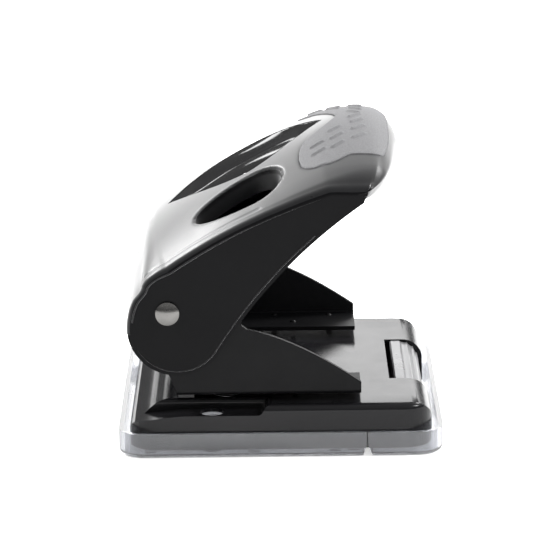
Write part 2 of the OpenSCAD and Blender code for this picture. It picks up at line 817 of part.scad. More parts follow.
// ---------------------------------------------------------------- springs
// One unbroken tube round a helix, in rings of six points.
coil_sides = 6;
rings_per_turn = 8;
function coil_pt(t, turns, r, wire, h) =
    [r * cos(360 * t), r * sin(360 * t), wire / 2 + t / turns * (h - wire)];
module coil_spring(turns, r, wire, h) {
    n = turns * rings_per_turn;
    points = [for (i = [0:n]) let (t = i / rings_per_turn, c = coil_pt(t, turns, r, wire, h))
        for (k = [0:coil_sides - 1]) let (b = 360 * k / coil_sides)
            c + wire / 2 * [cos(b) * cos(360 * t), cos(b) * sin(360 * t), sin(b)]];
    tube = [for (i = [0:n - 1]) for (k = [0:coil_sides - 1])
        let (j = (k + 1) % coil_sides, p = i * coil_sides, q = p + coil_sides)
        each [[p + k, q + k, p + j], [p + j, q + k, q + j]]];
    start = [for (k = [0:coil_sides - 1]) k];
    end = [for (k = [coil_sides - 1:-1:0]) n * coil_sides + k];
    polyhedron(points, concat(tube, [start, end]));
}

// Least gap between neighbouring turns, measured on ring centres half a turn or more apart
function coil_gap(turns, r, wire, h) =
    let (n = turns * rings_per_turn,
         c = [for (i = [0:n]) coil_pt(i / rings_per_turn, turns, r, wire, h)])
    min([for (i = [0:n - 5]) for (j = [i + 5:min(n, i + 11)]) norm(c[i] - c[j])]) - wire;

module return_spring(side) {
    color("silver")
        at_pins(side)
            translate([0, 0, spring_low])
                coil_spring(spring_turns, spring_r, spring_wire, spring_len);
}

button_turns = 5;
button_spring_len = button_spring_top - carrier_floor - 2 * run_gap;
module button_springs() {
    color("silver")
        for (side = [near, far])
            translate([button_spring_x, side * button_spring_y, carrier_floor + run_gap])
                coil_spring(button_turns, button_spring_r, button_spring_wire,
                            button_spring_len);
}
echo(return_spring_gap = coil_gap(spring_turns, spring_r, spring_wire, spring_len),
     button_spring_gap = coil_gap(button_turns, button_spring_r, button_spring_wire,
                                  button_spring_len));

// ---------------------------------------------------------------- pivot
cap_t = 2.1;
cap_dome = 1.3;
cap_gap = 0.15;
cap_low = lever_half + cap_gap;
shaft_end = lever_half + 1.2;
washer_r = pivot_d / 2 + 3;
module pivot_shaft() {
    color("silver")
        rod_y(pivot_x, pivot_z, pivot_d / 2, -shaft_end, shaft_end);
}

module pivot_cap(side) {
    cap_r = cap_d / 2;
    hole_r = pivot_d / 2 + press_gap;
    hole_end = shaft_end + press_gap;
    dome_r = (cap_r * cap_r + cap_dome * cap_dome) / (2 * cap_dome);
    dome = [for (i = [8:-1:0]) let (r = cap_r * i / 8)
        [r, cap_low + cap_t - dome_r + sqrt(dome_r * dome_r - r * r)]];
    color([0.85, 0.84, 0.8])
        scale([1, side, 1])
            translate([pivot_x, 0, pivot_z])
                rotate([-90, 0, 0])
                    rotate_extrude()
                        polygon(concat([[0, hole_end], [hole_r, hole_end], [hole_r, cap_low],
                                        [cap_r, cap_low]], dome));
}

module pivot_washers() {
    washer_in = frame_half + run_gap;
    color("whitesmoke")
        for (side = [near, far])
            scale([1, side, 1])
                difference() {
                    rod_y(pivot_x, pivot_z, washer_r, washer_in, washer_in + washer_t);
                    rod_y(pivot_x, pivot_z, pivot_d / 2 + run_gap, washer_in - cut,
                          washer_in + washer_t + cut);
                }
}

// ---------------------------------------------------------------- lever
web_inset = cover_t + 1.2;
web_front_a = 113;
web_sunk = 0.3;
web_half = cheek_out - web_sunk;
web_y = cheek_out;
web_under = web_inset + web_sunk + cheek_t;
screw_a = 126;
screw_y = 30;
boss_r = 3.2;
screw_r = 1.3;
screw_foot = edge_pts(web_y, web_inset + web_sunk, screw_a, screw_a, 1)[0];
boss_h = (skin_pt(screw_a, screw_y, -cover_t / 2, lever_half, edge_r) - screw_foot)
         * normal_at(screw_a);

module web_strip(inset, thick, from_a, to_a) {
    outer = edge_pts(web_y, inset, from_a, to_a, 12);
    inner = edge_pts(web_y, inset + thick, from_a, to_a, 12);
    polygon(concat(outer, [for (i = [12:-1:0]) inner[i]]));
}

// Puts a piece on the normal of the cover's back where its screws are.
module at_screws() {
    for (side = [near, far])
        translate([screw_foot[0], side * screw_y, screw_foot[1]])
            rotate([0, 90 - screw_a, 0])
                children();
}

// Room for the cover's rear wall behind the lobe of the inner cheeks
module rear_wall_space() {
    wall = edge_pts(web_y, web_inset + web_sunk, corner_a - 6, wall_a, 6);
    foot = wall[6] - [0, slack];
    polygon(concat(wall, [foot, [-tray_l, foot[1]], [-tray_l, wall[0][1]]]));
}

module lever_frame() {
    color([0.08, 0.08, 0.085])
        difference() {
            union() {
                both_sides(cheek_in, cheek_out)
                    difference() {
                        cheek_outline(edge_pts(web_y, web_inset, shoulder_a - 8, wall_a, 30));
                        rear_wall_space();
                    }
                side_plate(-web_half, 2 * web_half)
                    web_strip(web_inset + web_sunk, cheek_t, web_front_a, back_a);
            }
            rod_y(pivot_x, pivot_z, pivot_d / 2 + run_gap, -lever_half, lever_half);
            at_screws()
                translate([0, 0, -cheek_t - 2 * cut])
                    cylinder(r = screw_r + part_gap, h = cheek_t + 4 * cut);
        }
}

// Long opening for a finger, with a blunt round front and a narrow rear.
module finger_hole(side) {
    front_r = finger_w / 2;
    tail = finger_l - front_r;
    steps = 12;
    upper = [for (i = [0:steps]) let (u = i / steps)
        [-u * tail, front_r * sqrt(1 - 0.98 * u * u)]];
    translate([finger_x + finger_l / 2 - front_r, side * finger_y, leaf_low]) {
        cylinder(r = front_r, h = over_top - leaf_low);
        linear_extrude(over_top - leaf_low)
            polygon(concat(upper, [for (i = [steps:-1:0]) [upper[i][0], -upper[i][1]]]));
    }
}

module upright(low, high) {
    translate([0, 0, low])
        linear_extrude(high - low)
            children();
}

// The cover's cheeks hang from the rounded sides of its sheet. Their top edge lies in the
// thickness of the sheet, and their nose ends inside it.
cover_cheek_out = lever_half - 0.2;
cover_cheek_inset = 2;
cover_nose_a = [-45, 60];
cover_nose_inset = 1.1;
function cover_cheek_top() = concat(
    [skin_pt(cover_nose_a[0], lever_half, -cover_nose_inset, 2 * lever_half, 0)],
    [for (i = [0:30]) let (a = cover_nose_a[1] + (wall_a - cover_nose_a[1]) * i / 30)
        skin_pt(a, lever_half, -cover_cheek_inset, 2 * lever_half, 0)]);
leaf_low = 70;
pad_low = 101;
module lever_cover() {
    color([0.07, 0.07, 0.075])
        difference() {
            union() {
                cover_sheet();
                both_sides(cover_in, cover_cheek_out)
                    cheek_outline(cover_cheek_top());
                at_screws()
                    translate([0, 0, screw_gap])
                        cylinder(r = boss_r, h = boss_h - screw_gap);
            }
            upright(leaf_low, over_top)
                leaf_plan(pocket_gap);
            upright(pad_low, over_top)
                pad_plan(pocket_gap);
            for (side = [near, far])
                finger_hole(side);
            at_screws()
                translate([0, 0, -cut])
                    cylinder(r = screw_r, h = boss_h);
            rod_y(pivot_x, pivot_z, pivot_d / 2 + slack, -lever_half - cut, lever_half + cut);
        }
}

module top_inlay() {
    color([0.02, 0.02, 0.02])
        skin_layer(skin_rows(lever_half, edge_r), -inlay_sunk, cover_t, leaf_low)
            leaf_plan(0);
}

module grip_pad() {
    color([0.45, 0.45, 0.46]) {
        skin_layer(crown_rows, pad_proud, cover_t, pad_low)
            pad_plan(0);
        for (side = [near, far], r = rib_places)
            on_skin(r[0], side * r[1], pad_proud)
                rotate(-side * r[2])
                    cube([rib_l, rib_w, 2 * rib_h], center = true);
    }
}

// The bar that pushes the pins down: a web along the lever with a round lower edge.
beam_half = frame_half - frame_t - 1.2;
beam_c = [pin_x, pivot_z + beam_b];
beam_a_top = [120, 123.5];
beam_stem = 1.6;
module press_beam() {
    top = edge_pts(web_y, web_under + run_gap, beam_a_top[0], beam_a_top[1], 4);
    color([0.35, 0.35, 0.36])
        side_plate(-beam_half, 2 * beam_half)
            union() {
                translate(beam_c)
                    circle(r = beam_r);
                polygon(concat(top, [top[4] + beam_stem * [1, -2], beam_c - [beam_stem, 0],
                                     beam_c + [beam_stem, 0], top[0] - beam_stem * [2, 2]]));
            }
}

screw_gap = 0.2;     // heads and bosses from the curved web between them
screw_head_r = screw_r + 1.5;
screw_head_t = 1.5;
module cover_screws() {
    under = -cheek_t - screw_gap;
    color("silver")
        at_screws()
            rotate_extrude()
                polygon([[0, under - screw_head_t], [screw_head_r - 0.3, under - screw_head_t],
                         [screw_head_r, under], [screw_r, under],
                         [screw_r, boss_h - 2], [0, boss_h - 1.6]]);
}

// ---------------------------------------------------------------- release button
button_top = base_top_z - 0.4;
button_r = front_r - 0.6;
groove_depth = 0.5;
groove_turn = 24;
module button_view() {
    c = [button_front - button_r, button_top - button_r];
    // Raised ribs and grooves by turns round the front
    arc = [for (a = [90:-groove_turn / 4:12]) c + unit(a)
        * (button_r - (a > 84 || a % groove_turn > groove_turn / 2 ? 0 : groove_depth))];
    polygon(concat([[button_back, button_low], [button_back, button_top - 0.5],
                    [button_back + 0.5, button_top]], arc, [[button_front, button_low]]));
}

lug_l = 5;
lug_top = base_under - slack;
module release_button() {
    color([0.1, 0.1, 0.105])
        difference() {
            union() {
                side_plate(-button_half, button_w)
                    button_view();
                for (side = [near, far]) {
                    // Lugs that stop the button under the base
                    translate([button_back, side > 0 ? button_half - cut : -button_half - lug_w,
                               button_low])
                        cube([lug_l, lug_w + cut, lug_top - button_low]);
                    translate([button_spring_x - button_leg / 2,
                               side * button_leg_y - button_leg / 2, button_leg_low])
                        cube([button_leg, button_leg, button_low - button_leg_low + cut]);
                }
            }
            for (side = [near, far])
                translate([button_spring_x, side * button_spring_y, button_low - cut])
                    cylinder(r = button_spring_r + 0.9, h = button_spring_top - button_low + cut);
        }
}

carrier_back = button_cut_x - 1.4;
carrier_front = button_front - 4;
carrier_in = button_half + lug_w + slack;
leg_hole = button_leg + 2 * leg_gap;
carrier_round = base_l / 2 - base_t - front_r - part_gap;
module button_carrier() {
    out = carrier_in + carrier_t;
    low = carrier_floor - carrier_t;
    color([0.12, 0.12, 0.125])
        difference() {
            translate([carrier_back, -out, low])
                cube([carrier_front - carrier_back, 2 * out, base_under - run_gap - low]);
            translate([carrier_back + carrier_t, -carrier_in, carrier_floor])
                cube([base_l, 2 * carrier_in, base_top_z]);
            // Clear of the base's front round
            translate([carrier_round, -out, base_under - carrier_relief])
                cube([carrier_front, 2 * out, base_t]);
            for (side = [near, far])
                translate([button_spring_x - leg_hole / 2,
                           side * button_leg_y - leg_hole / 2, low - cut])
                    cube([leg_hole, leg_hole, carrier_t + 2 * cut]);
        }
}

chip_tray();
tray_flap();
flap_hinge_pins();
base_plate();
side_frame(near);  // side_frame_near
side_frame(far);  // side_frame_far
paper_stop(near);  // paper_stop_near
paper_stop(far);  // paper_stop_far
frame_rivets();
die(near);  // die_near
die(far);  // die_far
punch_pin(near);  // punch_pin_near
punch_pin(far);  // punch_pin_far
return_spring(near);  // return_spring_near
return_spring(far);  // return_spring_far
guide_bush(near);  // guide_bush_near
guide_bush(far);  // guide_bush_far
pin_clip(near);  // pin_clip_near
pin_clip(far);  // pin_clip_far
pivot_shaft();
pivot_cap(near);  // pivot_cap_near
pivot_cap(far);  // pivot_cap_far
pivot_washers();
lever_frame();
lever_cover();
top_inlay();
grip_pad();
press_beam();
cover_screws();
release_button();
button_carrier();
button_springs();
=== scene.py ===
"""Two-hole desk punch: visible pieces, finishes, light and camera over the fixed frame.

Sizes inside the functions are millimetres; meshes are made in metres. +X is the side
where paper goes in, +Y the far side, +Z up.
"""

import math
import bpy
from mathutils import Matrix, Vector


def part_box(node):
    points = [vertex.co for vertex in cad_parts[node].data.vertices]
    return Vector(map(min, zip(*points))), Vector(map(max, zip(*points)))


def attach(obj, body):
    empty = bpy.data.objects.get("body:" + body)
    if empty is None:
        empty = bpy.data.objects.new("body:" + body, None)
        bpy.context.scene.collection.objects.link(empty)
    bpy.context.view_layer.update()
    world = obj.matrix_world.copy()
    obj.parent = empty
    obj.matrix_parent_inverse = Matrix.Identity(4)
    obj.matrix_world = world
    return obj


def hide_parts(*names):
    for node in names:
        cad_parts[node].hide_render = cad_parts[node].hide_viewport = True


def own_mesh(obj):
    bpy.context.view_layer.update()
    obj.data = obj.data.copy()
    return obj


bl_info = {
    "name": "Two-Hole Desk Punch",
    "version": (1, 0, 0),
    "blender": (4, 5, 0),
    "location": "3D View > Sidebar > Desk Punch",
    "description": "Builds the visible pieces and finishes of a two-hole desk punch",
    "category": "Object",
}

import bmesh
import bpy
import numpy as np
from mathutils import Matrix, Vector

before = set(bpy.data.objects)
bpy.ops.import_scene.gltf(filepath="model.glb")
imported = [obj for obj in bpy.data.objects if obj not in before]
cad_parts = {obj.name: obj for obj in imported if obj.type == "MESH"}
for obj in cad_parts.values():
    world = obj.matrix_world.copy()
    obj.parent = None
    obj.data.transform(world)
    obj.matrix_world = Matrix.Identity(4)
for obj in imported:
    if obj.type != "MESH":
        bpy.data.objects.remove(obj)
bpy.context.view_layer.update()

MM = 0.001
BOX_OF = {name: [[c / MM for c in corner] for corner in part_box(name)]
          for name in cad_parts}
FAR = 1e9


# ------------------------------------------------------------------ settings

def size(label, text, value, low, high):
    """A length in metres that the sidebar shows in the scene's unit."""
    return bpy.props.FloatProperty(name=label, description=text, default=value * MM,
                                   min=low * MM, max=high * MM, subtype="DISTANCE",
                                   unit="LENGTH", precision=5)


def colour(label, text, value):
    """A linear colour swatch."""
    return bpy.props.FloatVectorProperty(name=label, description=text, default=value, size=3,
                                         min=0, max=1, subtype="COLOR")


def share(label, text, value, high=1.0):
    """A number without a unit, such as a roughness."""
    return bpy.props.FloatProperty(name=label, description=text, default=value, min=0, max=high,
                                   subtype="FACTOR")


class PunchSizes(bpy.types.PropertyGroup):
    """Sizes of the pieces that this file shapes itself."""

    hole_rim: size("Finger hole rim", "Radius of the rim round a finger hole", 1.3, 0.5, 4)
    pad_round: size("Pad edge", "Radius of the grip pad's edge", 0.5, 0.1, 1)
    rib_height: size("Rib height", "Height of the ribs on the grip pad", 0.65, 0.1, 1.2)
    crease: size("Inlay crease", "Depth of the crease along the leaf-shaped inlay", 1.9, 0, 2)
    inlay_round: size("Inlay edge", "Radius of the inlay's edge", 0.35, 0.05, 0.8)
    wire_sides: bpy.props.IntProperty(name="Wire sides", default=12, min=6, max=24,
                                      description="Sides of a spring's round wire")


class PunchColours(bpy.types.PropertyGroup):
    """Colours and finishes."""

    cover: colour("Cover", "Glossy plastic of the lever's cover", (0.0065, 0.0065, 0.0075))
    cover_rough: share("Cover roughness", "Roughness of the cover's gloss", 0.32)
    steel_paint: colour("Bracket paint", "Satin paint of brackets and inner lever",
                        (0.004, 0.004, 0.0045))
    base: colour("Base paint", "Gloss paint of the pressed base", (0.008, 0.008, 0.009))
    tray: colour("Tray", "Smoke tint of the chip tray", (0.62, 0.63, 0.66))
    pad: colour("Grip pad", "Grey rubber of the grip pad", (0.16, 0.16, 0.165))
    inlay: colour("Inlay", "Deep gloss of the leaf-shaped inlay", (0.004, 0.004, 0.0045))
    button: colour("Button", "Plastic of the ribbed button", (0.16, 0.16, 0.165))
    nickel: colour("Nickel", "Plated caps and rivets", (0.15, 0.147, 0.142))


class PunchStage(bpy.types.PropertyGroup):
    """Light, floor and camera."""

    lens: bpy.props.FloatProperty(name="Lens", default=190.99, min=50, max=400,
                                  description="Focal length in millimetres of a 36 mm frame")
    distance: size("Camera distance", "From the aim point to the camera", 1135.02, 600, 2500)
    elevation: bpy.props.FloatProperty(name="Elevation", default=math.radians(15.59),
                                       description="Height of the view above the horizon",
                                       subtype="ANGLE")
    floor: share("Floor", "Paleness of the floor", 0.93)
    floor_glow: share("Floor glow", "How much the floor is lifted towards white", 0.6)
    surroundings: share("Surroundings", "Level of the soft light from all sides", 1.0, 2.0)


def sizes():
    """The scene's size settings."""
    return bpy.context.scene.punch_sizes


def colours():
    """The scene's colour settings."""
    return bpy.context.scene.punch_colours


# ------------------------------------------------------------------ materials

# Heights of the finest relief, in millimetres
ORANGE_PEEL, SCRATCH, RUBBER_GRAIN, SMOKE_WAVE = 0.006, 0.002, 0.1, 0.0012
# Part of the noise's range that spread uses
NOISE_LOW, NOISE_HIGH = 0.3, 0.7


def plain(name, base, rough, metallic=0.0, spec=0.5, ior=1.5):
    """A new material with its node tree and shader."""
    mat = bpy.data.materials.new(name)
    mat.use_nodes = True
    tree = mat.node_tree
    shader = tree.nodes["Principled BSDF"]
    shader.inputs["Base Color"].default_value = (*base, 1)
    shader.inputs["Roughness"].default_value = rough
    shader.inputs["Metallic"].default_value = metallic
    shader.inputs["Specular IOR Level"].default_value = spec
    shader.inputs["IOR"].default_value = ior
    mat.diffuse_color = (*base, 1)
    return mat, tree, shader


def noise(tree, scale, detail=3.0, stretch=(1, 1, 1)):
    """Noise in the object's own coordinates, in cycles a metre."""
    place = tree.nodes.new("ShaderNodeTexCoord")
    mapping = tree.nodes.new("ShaderNodeMapping")
    mapping.inputs["Scale"].default_value = stretch
    tree.links.new(place.outputs["Object"], mapping.inputs["Vector"])
    tex = tree.nodes.new("ShaderNodeTexNoise")
    tex.inputs["Scale"].default_value = scale
    tex.inputs["Detail"].default_value = detail
    tree.links.new(mapping.outputs["Vector"], tex.inputs["Vector"])
    return tex.outputs["Fac"]


def spread(tree, source, low, high):
    """Spreads a noise value over the range from low to high."""
    ramp = tree.nodes.new("ShaderNodeMapRange")
    ramp.inputs["From Min"].default_value = NOISE_LOW
    ramp.inputs["From Max"].default_value = NOISE_HIGH
    ramp.inputs["To Min"].default_value = low
    ramp.inputs["To Max"].default_value = high
    tree.links.new(source, ramp.inputs["Value"])
    return ramp.outputs["Result"]


def bump(tree, shader, source, height):
    """Raises the surface by height millimetres times the source."""
    node = tree.nodes.new("ShaderNodeBump")
    node.inputs["Distance"].default_value = height * MM
    tree.links.new(source, node.inputs["Height"])
    tree.links.new(node.outputs["Normal"], shader.inputs["Normal"])


def polish(tree, shader, source, rough, low, high):
    """Lets the roughness run between two shares of its value."""
    tree.links.new(spread(tree, source, rough * low, rough * high),
                   shader.inputs["Roughness"])


def vary(tree, shader, base, source, amount):
    """Lets the base colour run a little lighter and darker."""
    mix = tree.nodes.new("ShaderNodeMix")
    mix.data_type = "RGBA"
    mix.inputs["A"].default_value = (*[c * (1 - amount) for c in base], 1)
    mix.inputs["B"].default_value = (*[min(1, c * (1 + amount)) for c in base], 1)
    tree.links.new(source, mix.inputs["Factor"])
    tree.links.new(mix.outputs["Result"], shader.inputs["Base Color"])


def gloss_plastic(name, base, rough, spec=0.5, grain=0.004, sheen=0.0):
    """Moulded gloss plastic: faint waviness and uneven polish."""
    mat, tree, shader = plain(name, base, rough, spec=spec)
    shader.inputs["Sheen Weight"].default_value = sheen
    shader.inputs["Sheen Roughness"].default_value = 0.42
    shader.inputs["Sheen Tint"].default_value = (1, 1, 1, 1)
    fine = noise(tree, 900, 4)
    polish(tree, shader, noise(tree, 60), rough, 0.85, 1.15)
    bump(tree, shader, fine, grain)
    return mat


def paint(name, base, rough, spec):
    """Sprayed enamel with a fine orange peel."""
    mat, tree, shader = plain(name, base, rough, spec=spec)
    polish(tree, shader, noise(tree, 80), rough, 0.9, 1.12)
    bump(tree, shader, noise(tree, 1400), ORANGE_PEEL)
    return mat


def metal(name, base, rough, stretch=(1, 1, 1)):
    """Turned or drawn metal with fine lines along one direction."""
    mat, tree, shader = plain(name, base, rough, metallic=1.0)
    lines = noise(tree, 700, 5, stretch)
    polish(tree, shader, lines, rough, 0.8, 1.3)
    vary(tree, shader, base, noise(tree, 120), 0.06)
    bump(tree, shader, lines, SCRATCH)
    return mat


def rubber(name, base, rough):
    """Moulded rubber with a fine spark-eroded grain."""
    mat, tree, shader = plain(name, base, rough, spec=0.35)
    grain = noise(tree, 2600, 6)
    vary(tree, shader, base, spread(tree, grain, 0, 1), 0.22)
    bump(tree, shader, grain, RUBBER_GRAIN)
    return mat


def smoke(name, tint):
    """Translucent smoke-grey plastic, a little frosted inside."""
    mat, tree, shader = plain(name, tint, 0.1, ior=1.49)
    shader.inputs["Transmission Weight"].default_value = 0.92
    tree.links.new(spread(tree, noise(tree, 90), 0.06, 0.12), shader.inputs["Roughness"])
    bump(tree, shader, noise(tree, 300), SMOKE_WAVE)
    return mat


FINISHES = {}


def make_finishes():
    """One material for each finish of the record's slots."""
    c = colours()
    FINISHES.clear()
    FINISHES.update({
        "smoke_plastic": smoke("Smoke plastic", c.tray),
        "base_enamel": paint("Base enamel", c.base, 0.19, spec=0.2),
        "frame_enamel": paint("Bracket enamel", c.steel_paint, 0.38, spec=0.1),
        "dark_plastic": gloss_plastic("Dark plastic", (0.014, 0.014, 0.015), 0.4),
        "dark_steel": metal("Dark steel", (0.17, 0.17, 0.175), 0.35),
        "steel": metal("Bright steel", (0.55, 0.55, 0.56), 0.25, (1, 1, 6)),
        "spring_wire": metal("Spring wire", (0.48, 0.48, 0.49), 0.28),
        "pale_plastic": gloss_plastic("Pale plastic", (0.55, 0.55, 0.53), 0.45),
        "nickel": metal("Nickel", c.nickel, 0.22, (4, 1, 4)),
        "black_gloss": gloss_plastic("Black gloss", c.cover, c.cover_rough, spec=0.16,
                                     grain=0.008, sheen=0.9),
        "cheek_satin": paint("Cheek satin", c.steel_paint, 0.32, spec=0.07),
        "inlay_gloss": gloss_plastic("Inlay gloss", c.inlay, 0.06, spec=0.12,
                                     grain=0.0015),
        "grey_rubber": rubber("Grey rubber", c.pad, 0.6),
        "button_plastic": gloss_plastic("Button plastic", c.button, 0.3),
    })


# ------------------------------------------------------------------ mesh helpers

def new_piece(name, points, faces, slot_name):
    """A piece from points in millimetres and index lists, with its finish."""
    mesh = bpy.data.meshes.new(name)
    mesh.from_pydata([tuple(c * MM for c in p) for p in points], [], faces)
    mesh.validate()
    obj = bpy.data.objects.new(name, mesh)
    bpy.context.scene.collection.objects.link(obj)
    if slot_name:
        mesh.materials.append(FINISHES[slot_name])
    return obj


def settle(obj, body, node, crease=32.0):
    """Shades the piece, lets it ride a body and puts it in the place of a node."""
    shade(obj, crease)
    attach(obj, body)
    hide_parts(node)


def shade(obj, crease):
    """Smooth faces, with hard edges where they meet at more than crease degrees."""
    mesh = bmesh.new()
    mesh.from_mesh(obj.data)
    bmesh.ops.remove_doubles(mesh, verts=mesh.verts, dist=2e-6)
    bmesh.ops.recalc_face_normals(mesh, faces=mesh.faces)
    for face in mesh.faces:
        face.smooth = True
    for edge in mesh.edges:
        edge.smooth = len(edge.link_faces) == 2 and \
            edge.calc_face_angle(0) < math.radians(crease)
    mesh.to_mesh(obj.data)
    mesh.free()


def face_outwards(obj):
    """Turns all faces of a closed mesh outwards; returns the piece."""
    mesh = bmesh.new()
    mesh.from_mesh(obj.data)
    bmesh.ops.recalc_face_normals(mesh, faces=mesh.faces)
    mesh.to_mesh(obj.data)
    mesh.free()
    return obj


def combine(obj, other, operation):
    """Boolean of two pieces; the second one is used up."""
    mod = obj.modifiers.new("combine", "BOOLEAN")
    mod.operation = operation
    mod.solver = "EXACT"
    mod.object = other
    bpy.context.view_layer.update()
    evaluated = obj.evaluated_get(bpy.context.evaluated_depsgraph_get())
    result = bpy.data.meshes.new_from_object(evaluated)
    obj.modifiers.clear()
    obj.data = result
    bpy.data.objects.remove(other)
    return obj


def prism(name, outline, low, high, axis="z", slot_name=None):
    """A closed prism over an outline of (x, y), along Y of (x, z), along X of (y, z)."""
    n = len(outline)
    order = {"x": (2, 0, 1), "y": (0, 2, 1), "z": (0, 1, 2)}[axis]
    flat = [(u, v, level) for level in (low, high) for u, v in outline]
    points = [tuple(p[i] for i in order) for p in flat]
    sides = [(i, (i + 1) % n, n + (i + 1) % n, n + i) for i in range(n)]
    ends = [tuple(range(n))[::-1], tuple(range(n, 2 * n))]
    return face_outwards(new_piece(name, points, sides + ends, slot_name))


def cut_out(obj, outline, low, high):
    """Cuts an upright opening through the piece between two heights."""
    return combine(obj, prism("cutter", outline, low, high), "DIFFERENCE")


def tube_faces(rings, sides):
    """Faces from ring to ring of points, and the two end faces."""
    faces = []
    for i in range(rings - 1):
        for k in range(sides):
            j = (k + 1) % sides
            faces.append((i * sides + k, i * sides + j, (i + 1) * sides + j,
                          (i + 1) * sides + k))
    last = (rings - 1) * sides
    return faces + [tuple(range(sides))[::-1], tuple(range(last, last + sides))]


def join(obj, *others):
    """Adds the others' meshes to obj as they are."""
    mesh = bmesh.new()
    mesh.from_mesh(obj.data)
    for other in others:
        mesh.from_mesh(other.data)
        bpy.data.objects.remove(other)
    mesh.to_mesh(obj.data)
    mesh.free()
    return obj


def line_distance(line, points):
    """Distance of each point to a line of straight pieces, in plan or in space."""
    line, points = np.array(line, float), np.array(points, float)
    best = np.full(len(points), FAR)
    for a, b in zip(line[:-1], line[1:]):
        way = b - a
        t = np.clip((points - a) @ way / max(way @ way, 1e-12), 0, 1)
        best = np.minimum(best, np.linalg.norm(points - a - t[:, None] * way, axis=1))
    return best


def edge_distance(outline, points):
    """Distance of each (x, y) point to a closed outline."""
    return line_distance([*outline, outline[0]], points)


def inside(outline, points):
    """True for each (x, y) point inside the closed outline."""
    points = np.array(points, float)
    x, y = points.T
    found = np.zeros(len(points), bool)
    n = len(outline)
    for i in range(n):
        (x1, y1), (x2, y2) = outline[i], outline[(i + 1) % n]
        if y1 != y2:
            hit = (y1 > y) != (y2 > y)
            found ^= hit & (x < (x2 - x1) * (y - y1) / (y2 - y1) + x1)
    return found


def fall(distance, radius):
    """Drop of a quarter-round edge at a distance from it."""
    near = np.clip(radius - distance, 0, radius)
    return radius - np.sqrt(np.maximum(radius * radius - near * near, 0))


# ------------------------------------------------------------------ skin of the lever

# The cover is a sheet over y and over a direction: the angle in degrees, from +X up to +Z,
# in which the skin's normal points in side view. Its middle line is made of arcs that
# meet at these directions; below the corner a Bezier curve runs down to the foot.
LIP, NOSE, SHOULDER, BACK, CORNER, WALL = -60, 85, 112, 127.5, 171, 181
NOSE_C, NOSE_R = np.array([32.4, 102.6]), 13
SHOULDER_R, BACK_R, CORNER_R = 45, 250, 12
FOOT, FOOT_A = np.array([-56.0, 47.0]), WALL + 10
CORNER_PULL, CORNER_PULL_A = 9, CORNER + 92
FOOT_PULL = np.array([-0.2, 12])
# Lengths of these stretches, which set the number of points along each
NOSE_LEN, SHOULDER_LEN, BACK_LEN, CORNER_LEN, FOOT_LEN = 33, 21, 67, 9, 34

# Across the lever the skin is bowed: from the middle outwards it leaves the middle line,
# at CROWN_HALF by CROWN_H times the (SHIFT_X, SHIFT_Z) of its angle.
CROWN_H, CROWN_HALF, LEVER_HALF = 12, 53.5, 56
SHIFT_A = [LIP, 0, 45, NOSE, SHOULDER, BACK, 150, CORNER, WALL]
SHIFT_X = [-0.17, -0.5, -0.35, 0, 0.37, 0.37, 0.1, 0.02, 0.02]
SHIFT_Z = [0.6, -0.13, -0.75, -1, -0.93, -0.56, -0.6, -0.54, -0.17]
# Radius of the edge between top and cheeks
EDGE_A = [LIP, 0, 45, NOSE, 100, 114, WALL]
EDGE_R = [4, 6, 8.5, 9, 7, 3.2, 2.0]
# Round the nose the sides draw together towards one point instead, by these shares
TIP = np.array([31.0, 98.5])
TIP_A = [LIP, 0, 70, 114]
TIP_SHARE = [0.35, 0.8, 1, 0]
TIP_FROM, TIP_OVER, TIP_MOST = 45, 11, 0.75
# The nose draws back from its middle outwards, and once more towards its sides
TUCK_A = [LIP, -30, 0, 30, 60]
TUCK_X = [-1.6, -3.4, -1.8, -0.4, 0]
TUCK_WIDTH = 18
SIDE_A = [LIP, -30, 0, 30, 60, NOSE]
SIDE_X = [-5, -4, -2.5, -1.5, -0.8, 0]
SIDE_Z = [-2.8, -1.8, -0.9, 0, 0, 0]
SIDE_FROM, SIDE_OVER = 34, 22
# The tables are blended over so many degrees to both sides, less towards the back
BLEND, BLEND_END, BLEND_FADE = 12, 130, 20

# Wall of the cover, and its thinner sides round the nose
COVER_T, COVER_THIN, THIN_X, THIN_Y = 2.2, 0.4, 5, [38, 50]
# Cheeks: lobe round the shaft, and the hollow arc that meets it at the angle CUT_A
LOBE_C, LOBE_R = np.array([-37.5, 49.5]), 18.3
CUT_R, CUT_A = 190, -31.9
CHEEK_IN, CHEEK_OUT = 54.85, LEVER_HALF - 0.005
CHEEK_TIP = [(30.9, 96.0), (31.8, 97.6)]
# Distances between points of the meshes
SKIN_STEP = 0.7
PAD_STEP = 0.45
# Heights between which openings are cut
CUT_TOP, CUT_SKIN, CUT_PAD, CUT_INLAY = 125, 70, 101, 60


def unit(a):
    """Unit vector in side view for a direction in degrees."""
    return np.array([math.cos(math.radians(a)), math.sin(math.radians(a))])


SHOULDER_C = NOSE_C + (NOSE_R - SHOULDER_R) * unit(NOSE)
BACK_C = SHOULDER_C + (SHOULDER_R - BACK_R) * unit(SHOULDER)
CORNER_C = BACK_C + (BACK_R - CORNER_R) * unit(BACK)
CUT_C = LOBE_C + (LOBE_R + CUT_R) * unit(CUT_A)


def crown(a):
    """Middle line of the cover in side view down to the corner, by its direction."""
    if a <= NOSE:
        return NOSE_C + NOSE_R * unit(a)
    if a <= SHOULDER:
        return SHOULDER_C + SHOULDER_R * unit(a)
    if a <= BACK:
        return BACK_C + BACK_R * unit(a)
    return CORNER_C + CORNER_R * unit(a)


def soft(a, at, values):
    """A value along the skin, without kinks between the given ones."""
    reach = BLEND * min(1.0, max(0.0, (BLEND_END - a) / BLEND_FADE))
    near = np.array((-1, -0.5, 0, 0.5, 1)) * reach + a
    return float(np.mean(np.interp(near, at, values)))


